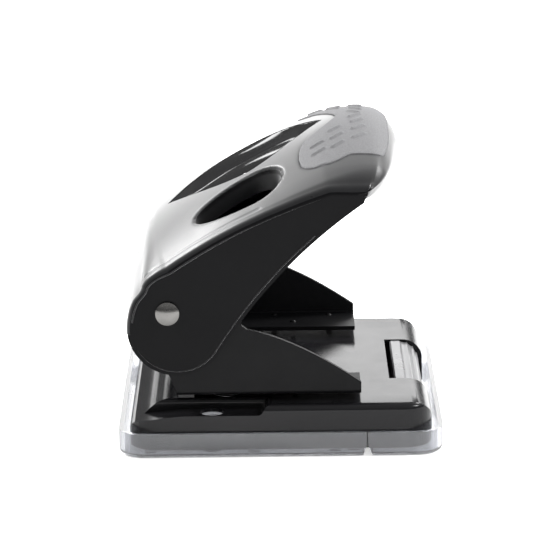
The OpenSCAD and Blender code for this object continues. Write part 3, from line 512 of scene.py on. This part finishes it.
def skin(a, y, out=0.0):
    """A point (x, y, z) on the lever's skin, out along its normal."""
    edge = soft(a, EDGE_A, EDGE_R)
    near = max(0.0, abs(y) - LEVER_HALF + edge)
    drop = edge - math.sqrt(max(0.0, edge * edge - near * near))
    bow = CROWN_H * (min(abs(y), CROWN_HALF) / CROWN_HALF) ** 2
    shift = np.array([soft(a, SHIFT_A, SHIFT_X), soft(a, SHIFT_A, SHIFT_Z)])
    if a > CORNER:
        t = (a - CORNER) / (FOOT_A - CORNER)
        p = crown(CORNER) + bow * shift
        p = ((1 - t) ** 3 * p + 3 * (1 - t) ** 2 * t * (p + CORNER_PULL * unit(CORNER_PULL_A))
             + 3 * (1 - t) * t * t * (FOOT + FOOT_PULL) + t ** 3 * FOOT)
    else:
        p = crown(a) + bow * shift
        tuck = 1 - math.exp(-(y / TUCK_WIDTH) ** 2)
        side = (max(0.0, abs(y) - SIDE_FROM) / SIDE_OVER) ** 2
        p = p + np.array([tuck * soft(a, TUCK_A, TUCK_X) + side * soft(a, SIDE_A, SIDE_X),
                          side * soft(a, SIDE_A, SIDE_Z)])
    pull = soft(a, TIP_A, TIP_SHARE)
    late = min(1.0, max(0.0, (abs(y) - TIP_FROM) / TIP_OVER))
    p = p + (TIP - p) * pull * TIP_MOST * (1 - math.sqrt(1 - late * late))
    p = p + (out - drop * (1 - pull)) * unit(min(a, CORNER))
    return (p[0], y, p[1])


def skin_angles(fine):
    """Directions along the skin, about fine millimetres apart."""
    def run(start, end, length):
        return list(np.linspace(start, end, max(2, int(length / fine)), endpoint=False))
    return (run(LIP, NOSE, NOSE_LEN) + run(NOSE, SHOULDER, SHOULDER_LEN)
            + run(SHOULDER, BACK, BACK_LEN) + run(BACK, CORNER, CORNER_LEN)
            + list(np.linspace(CORNER, FOOT_A, int(FOOT_LEN / fine))))


def skin_rows(fine):
    """Places across the lever: even, then closer towards the rounded edge."""
    edge = 2.6
    flat = list(np.linspace(0, LEVER_HALF - edge, int(LEVER_HALF / fine)))
    side = flat[1:] + [LEVER_HALF - edge + edge * math.sin(math.radians(a))
                       for a in range(10, 91, 8)]
    return [-y for y in reversed(side)] + [0.0] + side


def skin_shell(name, angles, rows, top, bottom, slot_name):
    """A closed sheet over the skin; top and bottom give each grid point's offset."""
    n, m = len(angles), len(rows)
    base = np.array([skin(a, y) for y in rows for a in angles])
    step = np.array([skin(a, y, 1.0) for y in rows for a in angles]) - base
    upper = base + step * top(base)[:, None]
    lower = base + step * bottom(base)[:, None]
    points = [tuple(p) for p in np.concatenate([upper, lower])]
    k = n * m
    faces = []
    for j in range(m - 1):
        for i in range(n - 1):
            p = j * n + i
            faces.append((p, p + 1, p + n + 1, p + n))
            faces.append((k + p, k + p + n, k + p + n + 1, k + p + 1))
    for j in range(m - 1):
        for p, flip in ((j * n, False), (j * n + n - 1, True)):
            quad = (p, p + n, k + p + n, k + p)
            faces.append(quad[::-1] if flip else quad)
    for i in range(n - 1):
        for p, flip in ((i, True), ((m - 1) * n + i, False)):
            quad = (p, p + 1, k + p + 1, k + p)
            faces.append(quad[::-1] if flip else quad)
    return face_outwards(new_piece(name, points, faces, slot_name))


# ------------------------------------------------------------------ outlines in plan view

# The leaf's two tips in x, its widest place and half its width there; how blunt it ends
LEAF_BACK, LEAF_FRONT, LEAF_WIDE, LEAF_HALF = -41.5, 16.3, -11, 22
LEAF_BLUNT_BACK, LEAF_BLUNT_FRONT = 1.9, 1.5
# Gap round inlay and pad
FIT_GAP = 0.15


def leaf_outline(grow=0.0, steps=60):
    """Leaf-shaped inlay, pointed at both ends."""
    upper = []
    for i in range(steps + 1):
        x = LEAF_BACK + (LEAF_FRONT - LEAF_BACK) * i / steps
        u = (LEAF_WIDE - x) / (LEAF_WIDE - LEAF_BACK) if x < LEAF_WIDE \
            else (x - LEAF_WIDE) / (LEAF_FRONT - LEAF_WIDE)
        blunt = LEAF_BLUNT_BACK if x < LEAF_WIDE else LEAF_BLUNT_FRONT
        half = LEAF_HALF * (1 - u ** blunt)
        upper.append((x + grow * (2 * i / steps - 1) * 2, half + grow))
    return upper + [(x, -y) for x, y in reversed(upper)]


# Far half of the grip pad's edge, from the middle of its back to its front
PAD_EDGE = [(21.6, 0), (20.2, 5), (15.6, 13), (9.7, 20), (7.8, 28), (7.9, 34.5), (9.5, 40),
            (14.1, 42.5), (20.6, 42), (26.2, 39), (33, 38.8), (38.0, 38), (40.0, 30),
            (41.2, 15)]


def smooth_line(points, steps):
    """A soft closed curve through the points."""
    n = len(points)
    p = np.array(points, float)
    result = []
    for i in range(n):
        a, b, c, d = p[(i - 1) % n], p[i], p[(i + 1) % n], p[(i + 2) % n]
        for s in range(steps):
            t = s / steps
            result.append(tuple(0.5 * (2 * b + (c - a) * t + (2 * a - 5 * b + 4 * c - d) * t * t
                                       + (3 * b - a - 3 * c + d) * t ** 3)))
    return result


def pad_outline(grow=0.0):
    """Grip pad in plan view, its edge moved outwards by about grow."""
    def away(p):
        return (p[0] + grow * (-1 if p[0] < 22 else 0.6),
                p[1] + grow * (1 if p[1] > 20 else 0))
    half = [away(p) for p in PAD_EDGE]
    return smooth_line(half + [(x, -y) for x, y in reversed(half[1:])], 5)


# Finger holes: front radius, length of the tail, front end in x, middle in y
HOLE_R, HOLE_TAIL, HOLE_FRONT, HOLE_Y = 10.3, 21.7, 1.3, 36


def finger_outline(side, steps=40):
    """Long finger hole with a blunt front and a narrow rear."""
    r, tail, x0 = HOLE_R, HOLE_TAIL, HOLE_FRONT - HOLE_R
    rear = [(-u * tail, r * math.sqrt(1 - 0.98 * u * u)) for u in np.linspace(1, 0, steps)]
    front = [(r * math.cos(t), r * math.sin(t))
             for t in np.linspace(math.pi / 2, 0, steps // 2, endpoint=False)][1:]
    upper = rear + front + [(r, 0.0)]
    whole = upper + [(x, -y) for x, y in reversed(upper[:-1])]
    return [(x0 + x, side * (HOLE_Y + y)) for x, y in whole]


# ------------------------------------------------------------------ pieces of the lever

# Seams by direction and y: along the border, its rear turn, and on to the side
SEAM_Y, SEAM_A = 51.2, np.linspace(166, 118, 40)
SEAM_TURN = [(168, 47.5), (167.4, 50)]
SEAM_SIDE = [(168, 46), (172, 51), (177, 56)]
SEAM_DEPTH, SEAM_HALF = 0.3, 0.55
RIM_SHARE = 0.75
SLEEVE_DEPTH, SLEEVE_THICK = 7.5, 1.1
FOLD_BEAD, RIM_BEAD, BEAD_INSET = 0.3, 0.22, 1.5
INLAY_SINK, INLAY_T, MID_RIB, MID_RIB_HALF = 0.1, 1.2, 0.22, 0.7
PAD_RISE = 0.5
# Ribs of the pad: direction, y and turn in degrees; half length, half width and flank
RIBS = [(110.8, 27, 26), (110.8, 33, 26), (101.3, 17, 40), (101, 23.8, 40), (101, 30.8, 40),
        (91.2, 3.2, 45), (90.5, 10, 45), (90.2, 17.6, 42), (90.2, 25.5, 40)]
RIB_LEN, RIB_HALF, RIB_FLANK = 2.6, 0.75, 0.3


def cheek_outline(top):
    """Cheek in side view: top edge, then the hollow lower arc and the lobe."""
    tangent = LOBE_C + LOBE_R * unit(CUT_A)
    lobe = [tuple(LOBE_C + LOBE_R * unit(a)) for a in np.linspace(CUT_A, -172, 70)]
    first = np.array(top[0])
    start = math.degrees(math.atan2(*(tangent - CUT_C)[::-1])) % 360
    hollow = []
    for a in np.linspace(start, start - 60, 240):
        p = CUT_C + CUT_R * unit(a)
        hollow.append(tuple(p))
        if p[0] > first[0] - 0.5 or p[1] > first[1]:
            break
    return top + lobe[::-1] + hollow[1:]


def sleeve(outline):
    """A wall that hangs from a hole's edge into the lever."""
    centre = np.mean(outline, 0)
    points = []
    for x, y in outline:
        away = np.array((x, y)) - centre
        away = away / np.linalg.norm(away) * SLEEVE_THICK
        z = height_at(x, y) - 0.9
        low = z - SLEEVE_DEPTH
        points += [(x, y, z), (x, y, low), (x + away[0], y + away[1], low),
                   (x + away[0], y + away[1], z - 0.6)]
    n = len(outline)
    faces = [(4 * i + k, 4 * ((i + 1) % n) + k, 4 * ((i + 1) % n) + m, 4 * i + m)
             for i in range(n) for k, m in ((0, 1), (1, 2), (2, 3), (3, 0))]
    return new_piece("sleeve", points, faces, "black_gloss")


def bead(curve, radius, sides=8):
    """A thin round bead along a line of points, growing from a fine start."""
    curve, v = np.array(curve), np.array((0, 1, 0))
    way = np.gradient(curve, axis=0)
    way /= np.linalg.norm(way, axis=1)[:, None]
    points = []
    for i, (p, t) in enumerate(zip(curve, way)):
        u = np.array((-t[2], 0, t[0]))
        r = radius * min(1, 0.05 + i / 14)
        for k in range(sides):
            b = 2 * math.pi * k / sides
            points.append(tuple(p + r * (math.cos(b) * u + math.sin(b) * v)))
    return new_piece("bead", points, tube_faces(len(curve), sides), "black_gloss")


def height_at(x, y):
    """Height of the lever's top over a point of the plan."""
    angles = np.linspace(60, 165, 106)
    line = np.array([skin(a, y) for a in angles])
    return float(np.interp(x, line[::-1, 0], line[::-1, 2]))


def cover_shell(holes):
    """The cover's sheet, sunk round the holes' rims and along the seams."""
    rim = sizes().hole_rim / MM
    seams = []
    for side in (-1, 1):
        seams.append([skin(a, side * y) for a, y in SEAM_TURN]
                     + [skin(a, side * SEAM_Y) for a in SEAM_A])
        seams.append([skin(a, side * y) for a, y in SEAM_SIDE])

    def top(p):
        drop = np.zeros(len(p))
        for outline in holes:
            flat = p[:, :2]
            near = edge_distance(outline, flat)
            near[inside(outline, flat)] = 0
            near[p[:, 2] < 80] = 99  # the nose's underside has no rim
            drop = np.maximum(drop, fall(near, rim) * RIM_SHARE)
        for line in seams:
            drop = drop + SEAM_DEPTH * np.clip(1 - line_distance(line, p) / SEAM_HALF, 0, 1)
        return -drop

    def bottom(p):
        thin = np.interp(abs(p[:, 1]), THIN_Y, [COVER_T, COVER_THIN])
        return -np.where(p[:, 0] > THIN_X, thin, COVER_T)

    return skin_shell("LeverCover", skin_angles(SKIN_STEP), skin_rows(SKIN_STEP), top, bottom,
                      "black_gloss")


def rim_line(outline):
    """The line in side view a little inside the cheek's lobe and its hollow arc."""
    line = [LOBE_C + (LOBE_R - BEAD_INSET) * unit(a) for a in np.linspace(-150, CUT_A, 40)]
    start = line[-1][0] + 1
    for p in outline:
        out = np.array(p) - CUT_C
        length = np.linalg.norm(out)
        if abs(length - CUT_R) < 0.001 and start < p[0] < 14:
            line.append(CUT_C + (CUT_R + BEAD_INSET) * out / length)
    return line


def build_lever():
    """Cover of the lever with its cheeks, finger holes and recesses."""
    holes = [finger_outline(1), finger_outline(-1)]
    cover = cover_shell(holes)
    for outline in (*holes, leaf_outline(FIT_GAP)):
        cover = cut_out(cover, outline, CUT_SKIN, CUT_TOP)
    cover = cut_out(cover, pad_outline(FIT_GAP), CUT_PAD, CUT_TOP)
    cheek = cheek_outline(CHEEK_TIP + [skin(a, LEVER_HALF)[::2]
                                       for a in np.linspace(96, FOOT_A, 90)])
    for side in (-1, 1):
        low, high = sorted((side * CHEEK_IN, side * CHEEK_OUT))
        join(cover, prism("plate", cheek, low, high, "y", "black_gloss"))
        fold = [skin(a, side * LEVER_HALF) for a in np.linspace(113, FOOT_A - 3, 90)]
        join(cover, bead(fold, FOLD_BEAD))
        join(cover, bead([(x, side * LEVER_HALF, z) for x, z in rim_line(cheek)], RIM_BEAD))
    for outline in holes:
        join(cover, sleeve(outline))
    cover.data.materials.append(FINISHES["cheek_satin"])
    settle(cover, "lever", "lever_cover")
    for face in cover.data.polygons:
        if abs(face.normal.y) > 0.94 and abs(face.center.y) > 54.5 * MM:
            face.material_index = 1  # the cheeks' flat outsides


def build_inlay():
    """Leaf-shaped gloss inlay with a crease along its middle."""
    s = sizes()
    outline = leaf_outline()
    round_r, crease = s.inlay_round / MM, s.crease / MM
    angles = [a for a in skin_angles(SKIN_STEP) if 80 < a < 160]
    half_width = 24
    rows = list(np.linspace(-half_width, half_width, int(2 * half_width / SKIN_STEP) | 1))

    def half_at(x):
        u = np.where(x < LEAF_WIDE, (LEAF_WIDE - x) / (LEAF_WIDE - LEAF_BACK),
                     (x - LEAF_WIDE) / (LEAF_FRONT - LEAF_WIDE))
        blunt = np.where(x < LEAF_WIDE, LEAF_BLUNT_BACK, LEAF_BLUNT_FRONT)
        return LEAF_HALF * (1 - np.clip(u, 0, 1) ** blunt)

    def top(p):
        half = np.maximum(half_at(p[:, 0]), 0.5)
        share = np.clip(1 - np.abs(p[:, 1]) / half, 0, 1)
        depth = crease * np.minimum(1, half / 10) * share
        edge = edge_distance(outline, p[:, :2])
        rib = MID_RIB * np.clip(1 - (p[:, 1] / MID_RIB_HALF) ** 2, 0, 1) * (share > 0.2)
        return -INLAY_SINK - depth + rib - fall(edge, round_r)

    inlay = skin_shell("TopInlay", angles, rows, top, lambda p: top(p) - INLAY_T,
                       "inlay_gloss")
    inlay = combine(inlay, prism("cutter", outline, CUT_INLAY, CUT_TOP), "INTERSECT")
    settle(inlay, "lever", "top_inlay", crease=9)


def rib_lines():
    """Middle and direction of each rib on the pad."""
    lines = []
    for side in (-1, 1):
        for a, y, turn in RIBS:
            middle = np.array(skin(a, side * y))
            ahead = np.array(skin(a - 2, side * y)) - middle
            aside = np.array(skin(a, side * y + 2)) - middle
            up = np.cross(ahead, aside)
            u, up = ahead / np.linalg.norm(ahead), up / np.linalg.norm(up)
            v = np.cross(up, u)
            t = math.radians(-side * turn)
            lines.append((middle, math.cos(t) * u + math.sin(t) * v))
    return lines


def build_pad():
    """Rubber grip pad with short slanted ribs."""
    s = sizes()
    outline = pad_outline()
    round_r, rib_h = s.pad_round / MM, s.rib_height / MM
    angles = [a for a in skin_angles(PAD_STEP) if 34 < a < 121]
    half_width = 44
    rows = list(np.linspace(-half_width, half_width, int(2 * half_width / PAD_STEP) | 1))
    ribs = rib_lines()

    def top(p):
        rise = np.zeros(len(p))
        for middle, along in ribs:
            d = p - middle
            t = np.clip(d @ along, -RIB_LEN, RIB_LEN)
            near = np.linalg.norm(d - t[:, None] * along, axis=1)
            flank = np.clip((RIB_HALF - near) / RIB_FLANK, 0, 1) ** 0.7
            rise = np.maximum(rise, rib_h * flank)
        edge = edge_distance(outline, p[:, :2])
        return PAD_RISE + rise - fall(edge, round_r)

    pad = skin_shell("GripPad", angles, rows, top, lambda p: np.full(len(p), -COVER_T),
                     "grey_rubber")
    pad = combine(pad, prism("cutter", outline, CUT_PAD, CUT_TOP), "INTERSECT")
    settle(pad, "lever", "grip_pad", crease=50)


# ------------------------------------------------------------------ springs

# Name, node, body, joint, turns, wire in mm, travel in mm, whether two springs stand apart
SPRINGS = [
    ("ReturnSpringNear", "return_spring_near", "base", "punch_near_slide", 5, 0.9, 9.984, False),
    ("ReturnSpringFar", "return_spring_far", "base", "punch_far_slide", 5, 0.9, 9.984, False),
    ("ButtonSprings", "button_springs", "base", "button_slide", 5, 0.6, 2.0, True),
]


def coil(name, centre, turns, radius, wire, height, sides):
    """One round wire wound into a compression spring."""
    n = turns * 28
    points = []
    for i in range(n + 1):
        t = i / n
        a = 2 * math.pi * turns * t
        z = wire / 2 + t * (height - wire)
        for k in range(sides):
            b = 2 * math.pi * k / sides
            r = radius + wire / 2 * math.cos(b)
            points.append((centre[0] + r * math.cos(a), centre[1] + r * math.sin(a),
                           centre[2] + z + wire / 2 * math.sin(b)))
    return new_piece(name, points, tube_faces(n + 1, sides), "spring_wire")


def spring_like(name, node, body, joint, turns, wire, travel, split):
    """Replaces the springs of a node by fine ones that ride its body."""
    low, high = BOX_OF[node]
    radius = (high[0] - low[0]) / 2 - wire / 2
    x = (high[0] + low[0]) / 2
    height = high[2] - low[2]
    ys = [low[1] + radius + wire / 2, high[1] - radius - wire / 2] if split \
        else [(low[1] + high[1]) / 2]
    parts = [coil(name, (x, y, low[2]), turns, radius, wire, height, sizes().wire_sides)
             for y in ys]
    spring = join(parts[0], *parts[1:]) if len(parts) > 1 else parts[0]
    settle(spring, body, node, crease=60)
    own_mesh(spring)


def build_springs():
    """Return springs of the punch pins and springs of the button."""
    for row in SPRINGS:
        spring_like(*row)


# ------------------------------------------------------------------ base

BASE_L, BASE_W, BASE_TOP, BASE_FOOT, BASE_CORNER = 112, 114.4, 19.6, 3, 11
BASE_WALL, BASE_EDGE, BASE_OVER = 1.4, 2.5, 2
# Low strips along the sides, the step up at their front end, and the rounded front
STRIP_W, STRIP_DROP, STRIP_ROUND, FRONT_R = 10.2, 3.8, 2.0, 8
STEP_X, STEP_R = -8.5, 2
STEP_END = [(-5.6, 0.95), (-4.8, 0.45), (-4.0, 0.14), (-3.0, 0)]
# The rear slope in side view, of the middle and of the strips
TOP_SLOPE = [(-55.8, 9), (-55.2, 11), (-53.9, 12.6), (-50.5, 13.9), (-48, 16.3), (-46, 18.0),
             (-44, 18.9), (-42, 19.3), (-38, 19.6)]
STRIP_SLOPE = [(-55.8, 9), (-55.2, 11), (-53.9, 12.6), (-50.5, 13.9), (-47, 14.6),
               (-44, 15.1), (-40, 15.5), (-36, 15.8)]
# Round openings on each side (x, y, radius), and the button's slot in the front edge
OPENINGS = ((-20, 40, 5.55), (-25.3, 51.9, 4.4))
SLOT_X, SLOT_END, SLOT_HALF = 41, 80, 25.3


def slab(name, length, width, corner, profile, steps=12):
    """Rings of a rounded rectangle, one for each (inset, height), closed at both ends."""
    points = []
    turns = np.linspace(0, math.pi / 2, steps + 1)
    for inset, z in profile:
        for q, (sx, sy) in enumerate(((1, 1), (-1, 1), (-1, -1), (1, -1))):
            for t in turns:
                a = t + q * math.pi / 2
                r = max(corner - inset, 0.05)
                points.append((sx * (length / 2 - corner) + r * math.cos(a),
                               sy * (width / 2 - corner) + r * math.sin(a), z))
    return new_piece(name, points, tube_faces(len(profile), 4 * (steps + 1)), "base_enamel")


def arc(centre_x, centre_z, radius, degrees):
    """Points of an arc in side view."""
    return [(centre_x + radius * math.cos(math.radians(a)),
             centre_z + radius * math.sin(math.radians(a))) for a in degrees]


def base_form(name, inset):
    """The pressed base's outside, or with an inset its inside, as a solid form."""
    half, top = BASE_L / 2 - inset, BASE_TOP - inset
    profile = [(0, BASE_FOOT - (1 if inset else 0)), (0, top - BASE_EDGE)]
    for a in range(84, -1, -6):
        t = math.radians(90 - a)
        profile.append((BASE_EDGE - BASE_EDGE * math.cos(t), top - BASE_EDGE
                        + BASE_EDGE * math.sin(t)))

    front = arc(half - FRONT_R, top - FRONT_R, FRONT_R, range(90, 8, -4))
    front.append((half, BASE_FOOT - BASE_OVER))
    rear = [(-half, BASE_FOOT - BASE_OVER), (-half + 0.1, 9)]
    strip = top - STRIP_DROP
    step = arc(STEP_X, strip + STEP_R, STEP_R, range(-90, -38, 6))
    step += [(x, top - drop) for x, drop in STEP_END]
    high = [(x + inset * 0.8, z - inset) for x, z in TOP_SLOPE[1:]]
    low = [(x + inset * 0.8, min(z - inset, strip)) for x, z in STRIP_SLOPE[1:]]
    low_prism = prism("low", rear + low + step + front, -70, 70, "y")
    high_prism = prism("high", rear + high + front, -58, 58, "y")
    side, r = BASE_W / 2 - STRIP_W - inset, STRIP_ROUND
    rounded = [(side, BASE_FOOT - BASE_OVER)] + arc(side - r, top - r, r, range(0, 91, 9))
    across = prism("across", rounded + [(-y, z) for y, z in reversed(rounded)], -70, 70, "x")
    high_prism = combine(high_prism, across, "INTERSECT")
    form = combine(low_prism, high_prism, "UNION")
    whole = slab(name, BASE_L - 2 * inset, BASE_W - 2 * inset, BASE_CORNER - inset, profile)
    return combine(whole, form, "INTERSECT")


def build_base():
    """Pressed base: high middle, low side strips, round front and its openings."""
    base = base_form("BasePlate", 0.0)
    base = combine(base, base_form("inner", BASE_WALL), "DIFFERENCE")
    for side in (-1, 1):
        for x, y, r in OPENINGS:
            ring = [(x + r * math.cos(t), side * y + r * math.sin(t))
                    for t in np.linspace(0, 2 * math.pi, 48, endpoint=False)]
            base = cut_out(base, ring, 5, 40)
    slot = [(SLOT_X, -SLOT_HALF), (SLOT_END, -SLOT_HALF), (SLOT_END, SLOT_HALF),
            (SLOT_X, SLOT_HALF)]
    base = cut_out(base, slot, 1, 40)
    base.data.materials.clear()
    base.data.materials.append(FINISHES["base_enamel"])
    settle(base, "base", "base_plate", crease=28)


# ------------------------------------------------------------------ finishes of the rest

NODES_OF = {
    "smoke_plastic": ["chip_tray", "tray_flap"],
    "steel": ["flap_hinge_pins", "punch_pin_near", "punch_pin_far", "pivot_shaft",
              "cover_screws"],
    "base_enamel": ["base_plate"],
    "frame_enamel": ["side_frame_near", "side_frame_far", "lever_frame"],
    "dark_plastic": ["paper_stop_near", "paper_stop_far", "button_carrier"],
    "dark_steel": ["frame_rivets", "die_near", "die_far", "pin_clip_near", "pin_clip_far",
                   "press_beam"],
    "spring_wire": ["return_spring_near", "return_spring_far", "button_springs"],
    "pale_plastic": ["guide_bush_near", "guide_bush_far", "pivot_washers"],
    "nickel": ["pivot_cap_near", "pivot_cap_far"],
    "black_gloss": ["lever_cover"],
    "inlay_gloss": ["top_inlay"],
    "grey_rubber": ["grip_pad"],
    "button_plastic": ["release_button"],
}
SLOT_OF = {node: slot_name for slot_name, nodes in NODES_OF.items() for node in nodes}


def finish_frame_nodes():
    """Every CAD node that stays gets the finish of its slot."""
    for name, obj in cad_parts.items():
        slot_name = SLOT_OF[name]
        if not obj.hide_render:
            obj.data.materials.clear()
            obj.data.materials.append(FINISHES[slot_name])


# ------------------------------------------------------------------ stage

# Level of the surroundings from straight below to straight above
SKY = [(0.0, 0.12), (0.22, 0.2), (0.45, 0.6), (1.0, 0.75)]
FLOOR_HALF, FLOOR_Z = 4000, -0.02
# Suns: name, power, azimuth from +Y to +X, elevation and angle across, all in degrees
SUNS = [("Back sky", 3.0, 50, 48, 20), ("Left sky", 3.4, -45, 32, 18)]
# Panels: name, power, azimuth, elevation, then distance, width and height in metres
PANELS = [("Back panel", 1.3, 12, 15, 0.8, 0.7, 0.17), ("Window", 2.6, 118, 34, 0.7, 0.13, 0.18)]
LIGHT_AIM = Vector((0, 0, 0.06))
# Camera: aim point in mm, turn about the upright and roll in degrees, sensor in mm
CAMERA_AIM, CAMERA_TURN, CAMERA_ROLL, SENSOR = (0.34, 0, 51.43), -0.11, -0.63, 36


def soft_sky(strength):
    """Soft light from all sides, paler from above."""
    world = bpy.data.worlds.new("Surroundings")
    bpy.context.scene.world = world
    world.use_nodes = True
    tree = world.node_tree
    light = tree.nodes["Background"]
    place = tree.nodes.new("ShaderNodeTexCoord")
    parts = tree.nodes.new("ShaderNodeSeparateXYZ")
    ramp = tree.nodes.new("ShaderNodeValToRGB")
    tree.links.new(place.outputs["Generated"], parts.inputs[0])
    tree.links.new(parts.outputs["Z"], ramp.inputs["Fac"])
    tree.links.new(ramp.outputs["Color"], light.inputs["Color"])
    stops = ramp.color_ramp.elements
    for stop, (at, level) in zip((stops[0], stops[1]), (SKY[0], SKY[-1])):
        stop.position, stop.color = at, (level, level, level, 1)
    for at, level in SKY[1:-1]:
        stops.new(at).color = (level, level, level, 1)
    light.inputs["Strength"].default_value = strength


def pale_floor(shade_of_white, lift):
    """Floor that looks nearly white but lends the object little of that glow."""
    mat, tree, shader = plain("Floor", (shade_of_white,) * 3, 0.9, spec=0.0)
    path = tree.nodes.new("ShaderNodeLightPath")
    shader.inputs["Emission Color"].default_value = (1, 1, 1, 1)
    seen = path.outputs["Is Camera Ray"]
    for kind in ("Is Glossy Ray", "Is Transmission Ray"):
        either = tree.nodes.new("ShaderNodeMath")
        either.operation = "MAXIMUM"
        tree.links.new(seen, either.inputs[0])
        tree.links.new(path.outputs[kind], either.inputs[1])
        seen = either.outputs[0]
    level = tree.nodes.new("ShaderNodeMath")
    level.operation = "MULTIPLY"
    level.inputs[1].default_value = lift
    tree.links.new(seen, level.inputs[0])
    tree.links.new(level.outputs[0], shader.inputs["Emission Strength"])
    corners = [(x * FLOOR_HALF, y * FLOOR_HALF, FLOOR_Z)
               for x, y in ((-1, -1), (1, -1), (1, 1), (-1, 1))]
    floor = new_piece("Floor", corners, [(0, 1, 2, 3)], None)
    floor.data.materials.append(mat)


def place_light(name, kind, power, azimuth, elevation, distance=0.0, **shape):
    """A light that shines from a direction towards the middle of the object."""
    data = bpy.data.lights.new(name, kind)
    data.energy = power
    for key, value in shape.items():
        setattr(data, key, value)
    obj = bpy.data.objects.new(name, data)
    az, el = math.radians(azimuth), math.radians(elevation)
    way = Vector((math.sin(az) * math.cos(el), math.cos(az) * math.cos(el), math.sin(el)))
    obj.location = LIGHT_AIM + way * distance
    obj.rotation_euler = way.to_track_quat("Z", "Y").to_euler()
    bpy.context.scene.collection.objects.link(obj)


def place_camera(lens, distance, elevation):
    """The camera at the photograph's angle."""
    aim = Vector(CAMERA_AIM) * MM
    turn, roll = math.radians(CAMERA_TURN), math.radians(CAMERA_ROLL)
    back = Vector((math.sin(turn) * math.cos(elevation),
                   -math.cos(turn) * math.cos(elevation), math.sin(elevation)))
    right = (-back).cross(Vector((0, 0, 1))).normalized()
    up = right.cross(-back)
    level_x = right * math.cos(roll) + up * math.sin(roll)
    level_y = -right * math.sin(roll) + up * math.cos(roll)
    data = bpy.data.cameras.new("Camera")
    data.sensor_width = SENSOR
    data.lens = lens
    data.clip_start, data.clip_end = 0.05, 20
    cam = bpy.data.objects.new("Camera", data)
    bpy.context.scene.collection.objects.link(cam)
    cam.matrix_world = Matrix.Translation(aim + back * distance) @ \
        Matrix((level_x, level_y, back)).transposed().to_4x4()
    bpy.context.scene.camera = cam


def build_stage():
    """Pale floor, soft light and the camera of the photograph's angle."""
    stage = bpy.context.scene.punch_stage
    bpy.context.scene.view_settings.view_transform = "Standard"
    soft_sky(stage.surroundings)
    pale_floor(stage.floor, stage.floor_glow)
    for name, power, azimuth, elevation, angle in SUNS:
        place_light(name, "SUN", power, azimuth, elevation, angle=math.radians(angle))
    for name, power, azimuth, elevation, distance, width, height in PANELS:
        place_light(name, "AREA", power, azimuth, elevation, distance, shape="RECTANGLE",
                    size=width, size_y=height)
    place_camera(stage.lens, stage.distance, stage.elevation)


# ------------------------------------------------------------------ add-on

class PUNCH_OT_lever(bpy.types.Operator):
    """Builds the lever's cover with its cheeks"""

    bl_idname = "punch.lever"
    bl_label = "Lever cover"
    bl_options = {"REGISTER", "UNDO"}

    def execute(self, context):
        build_lever()
        return {"FINISHED"}


class PUNCH_OT_inlay(bpy.types.Operator):
    """Builds the leaf-shaped inlay"""

    bl_idname = "punch.inlay"
    bl_label = "Inlay"
    bl_options = {"REGISTER", "UNDO"}

    def execute(self, context):
        build_inlay()
        return {"FINISHED"}


class PUNCH_OT_pad(bpy.types.Operator):
    """Builds the rubber grip pad with its ribs"""

    bl_idname = "punch.pad"
    bl_label = "Grip pad"
    bl_options = {"REGISTER", "UNDO"}

    def execute(self, context):
        build_pad()
        return {"FINISHED"}


class PUNCH_OT_springs(bpy.types.Operator):
    """Builds the round-wire springs"""

    bl_idname = "punch.springs"
    bl_label = "Springs"
    bl_options = {"REGISTER", "UNDO"}

    def execute(self, context):
        build_springs()
        return {"FINISHED"}


class PUNCH_OT_base(bpy.types.Operator):
    """Builds the pressed base with its openings"""

    bl_idname = "punch.base"
    bl_label = "Base"
    bl_options = {"REGISTER", "UNDO"}

    def execute(self, context):
        build_base()
        return {"FINISHED"}


class PUNCH_OT_finishes(bpy.types.Operator):
    """Gives every other piece its finish"""

    bl_idname = "punch.finishes"
    bl_label = "Finishes"
    bl_options = {"REGISTER", "UNDO"}

    def execute(self, context):
        finish_frame_nodes()
        return {"FINISHED"}


class PUNCH_OT_stage(bpy.types.Operator):
    """Builds floor, light and camera"""

    bl_idname = "punch.stage"
    bl_label = "Stage"
    bl_options = {"REGISTER", "UNDO"}

    def execute(self, context):
        build_stage()
        return {"FINISHED"}


GROUPS = {"punch_sizes": PunchSizes, "punch_colours": PunchColours,
          "punch_stage": PunchStage}
OPERATORS = [PUNCH_OT_lever, PUNCH_OT_inlay, PUNCH_OT_pad, PUNCH_OT_springs, PUNCH_OT_base,
             PUNCH_OT_finishes, PUNCH_OT_stage]


class PUNCH_PT_sidebar(bpy.types.Panel):
    """Lists the punch's settings and its build steps"""

    bl_idname = "PUNCH_PT_sidebar"
    bl_label = "Desk Punch"
    bl_space_type = "VIEW_3D"
    bl_region_type = "UI"
    bl_category = "Desk Punch"

    def draw(self, context):
        for name, group in GROUPS.items():
            box = self.layout.box()
            for key in group.__annotations__:
                box.prop(getattr(context.scene, name), key)
        for cls in OPERATORS:
            self.layout.operator(cls.bl_idname)


CLASSES = [*GROUPS.values(), *OPERATORS, PUNCH_PT_sidebar]


def register():
    """Registers the classes and hangs the settings on the scene."""
    for cls in CLASSES:
        bpy.utils.register_class(cls)
    for name, group in GROUPS.items():
        setattr(bpy.types.Scene, name, bpy.props.PointerProperty(type=group))


def unregister():
    """Takes the settings and the classes away again."""
    for name in GROUPS:
        delattr(bpy.types.Scene, name)
    for cls in reversed(CLASSES):
        bpy.utils.unregister_class(cls)


def main():
    """Builds everything in order."""
    register()
    make_finishes()
    bpy.ops.punch.lever()
    bpy.ops.punch.inlay()
    bpy.ops.punch.pad()
    bpy.ops.punch.springs()
    bpy.ops.punch.base()
    bpy.ops.punch.finishes()
    bpy.ops.punch.stage()


if __name__ == "__main__":
    main()
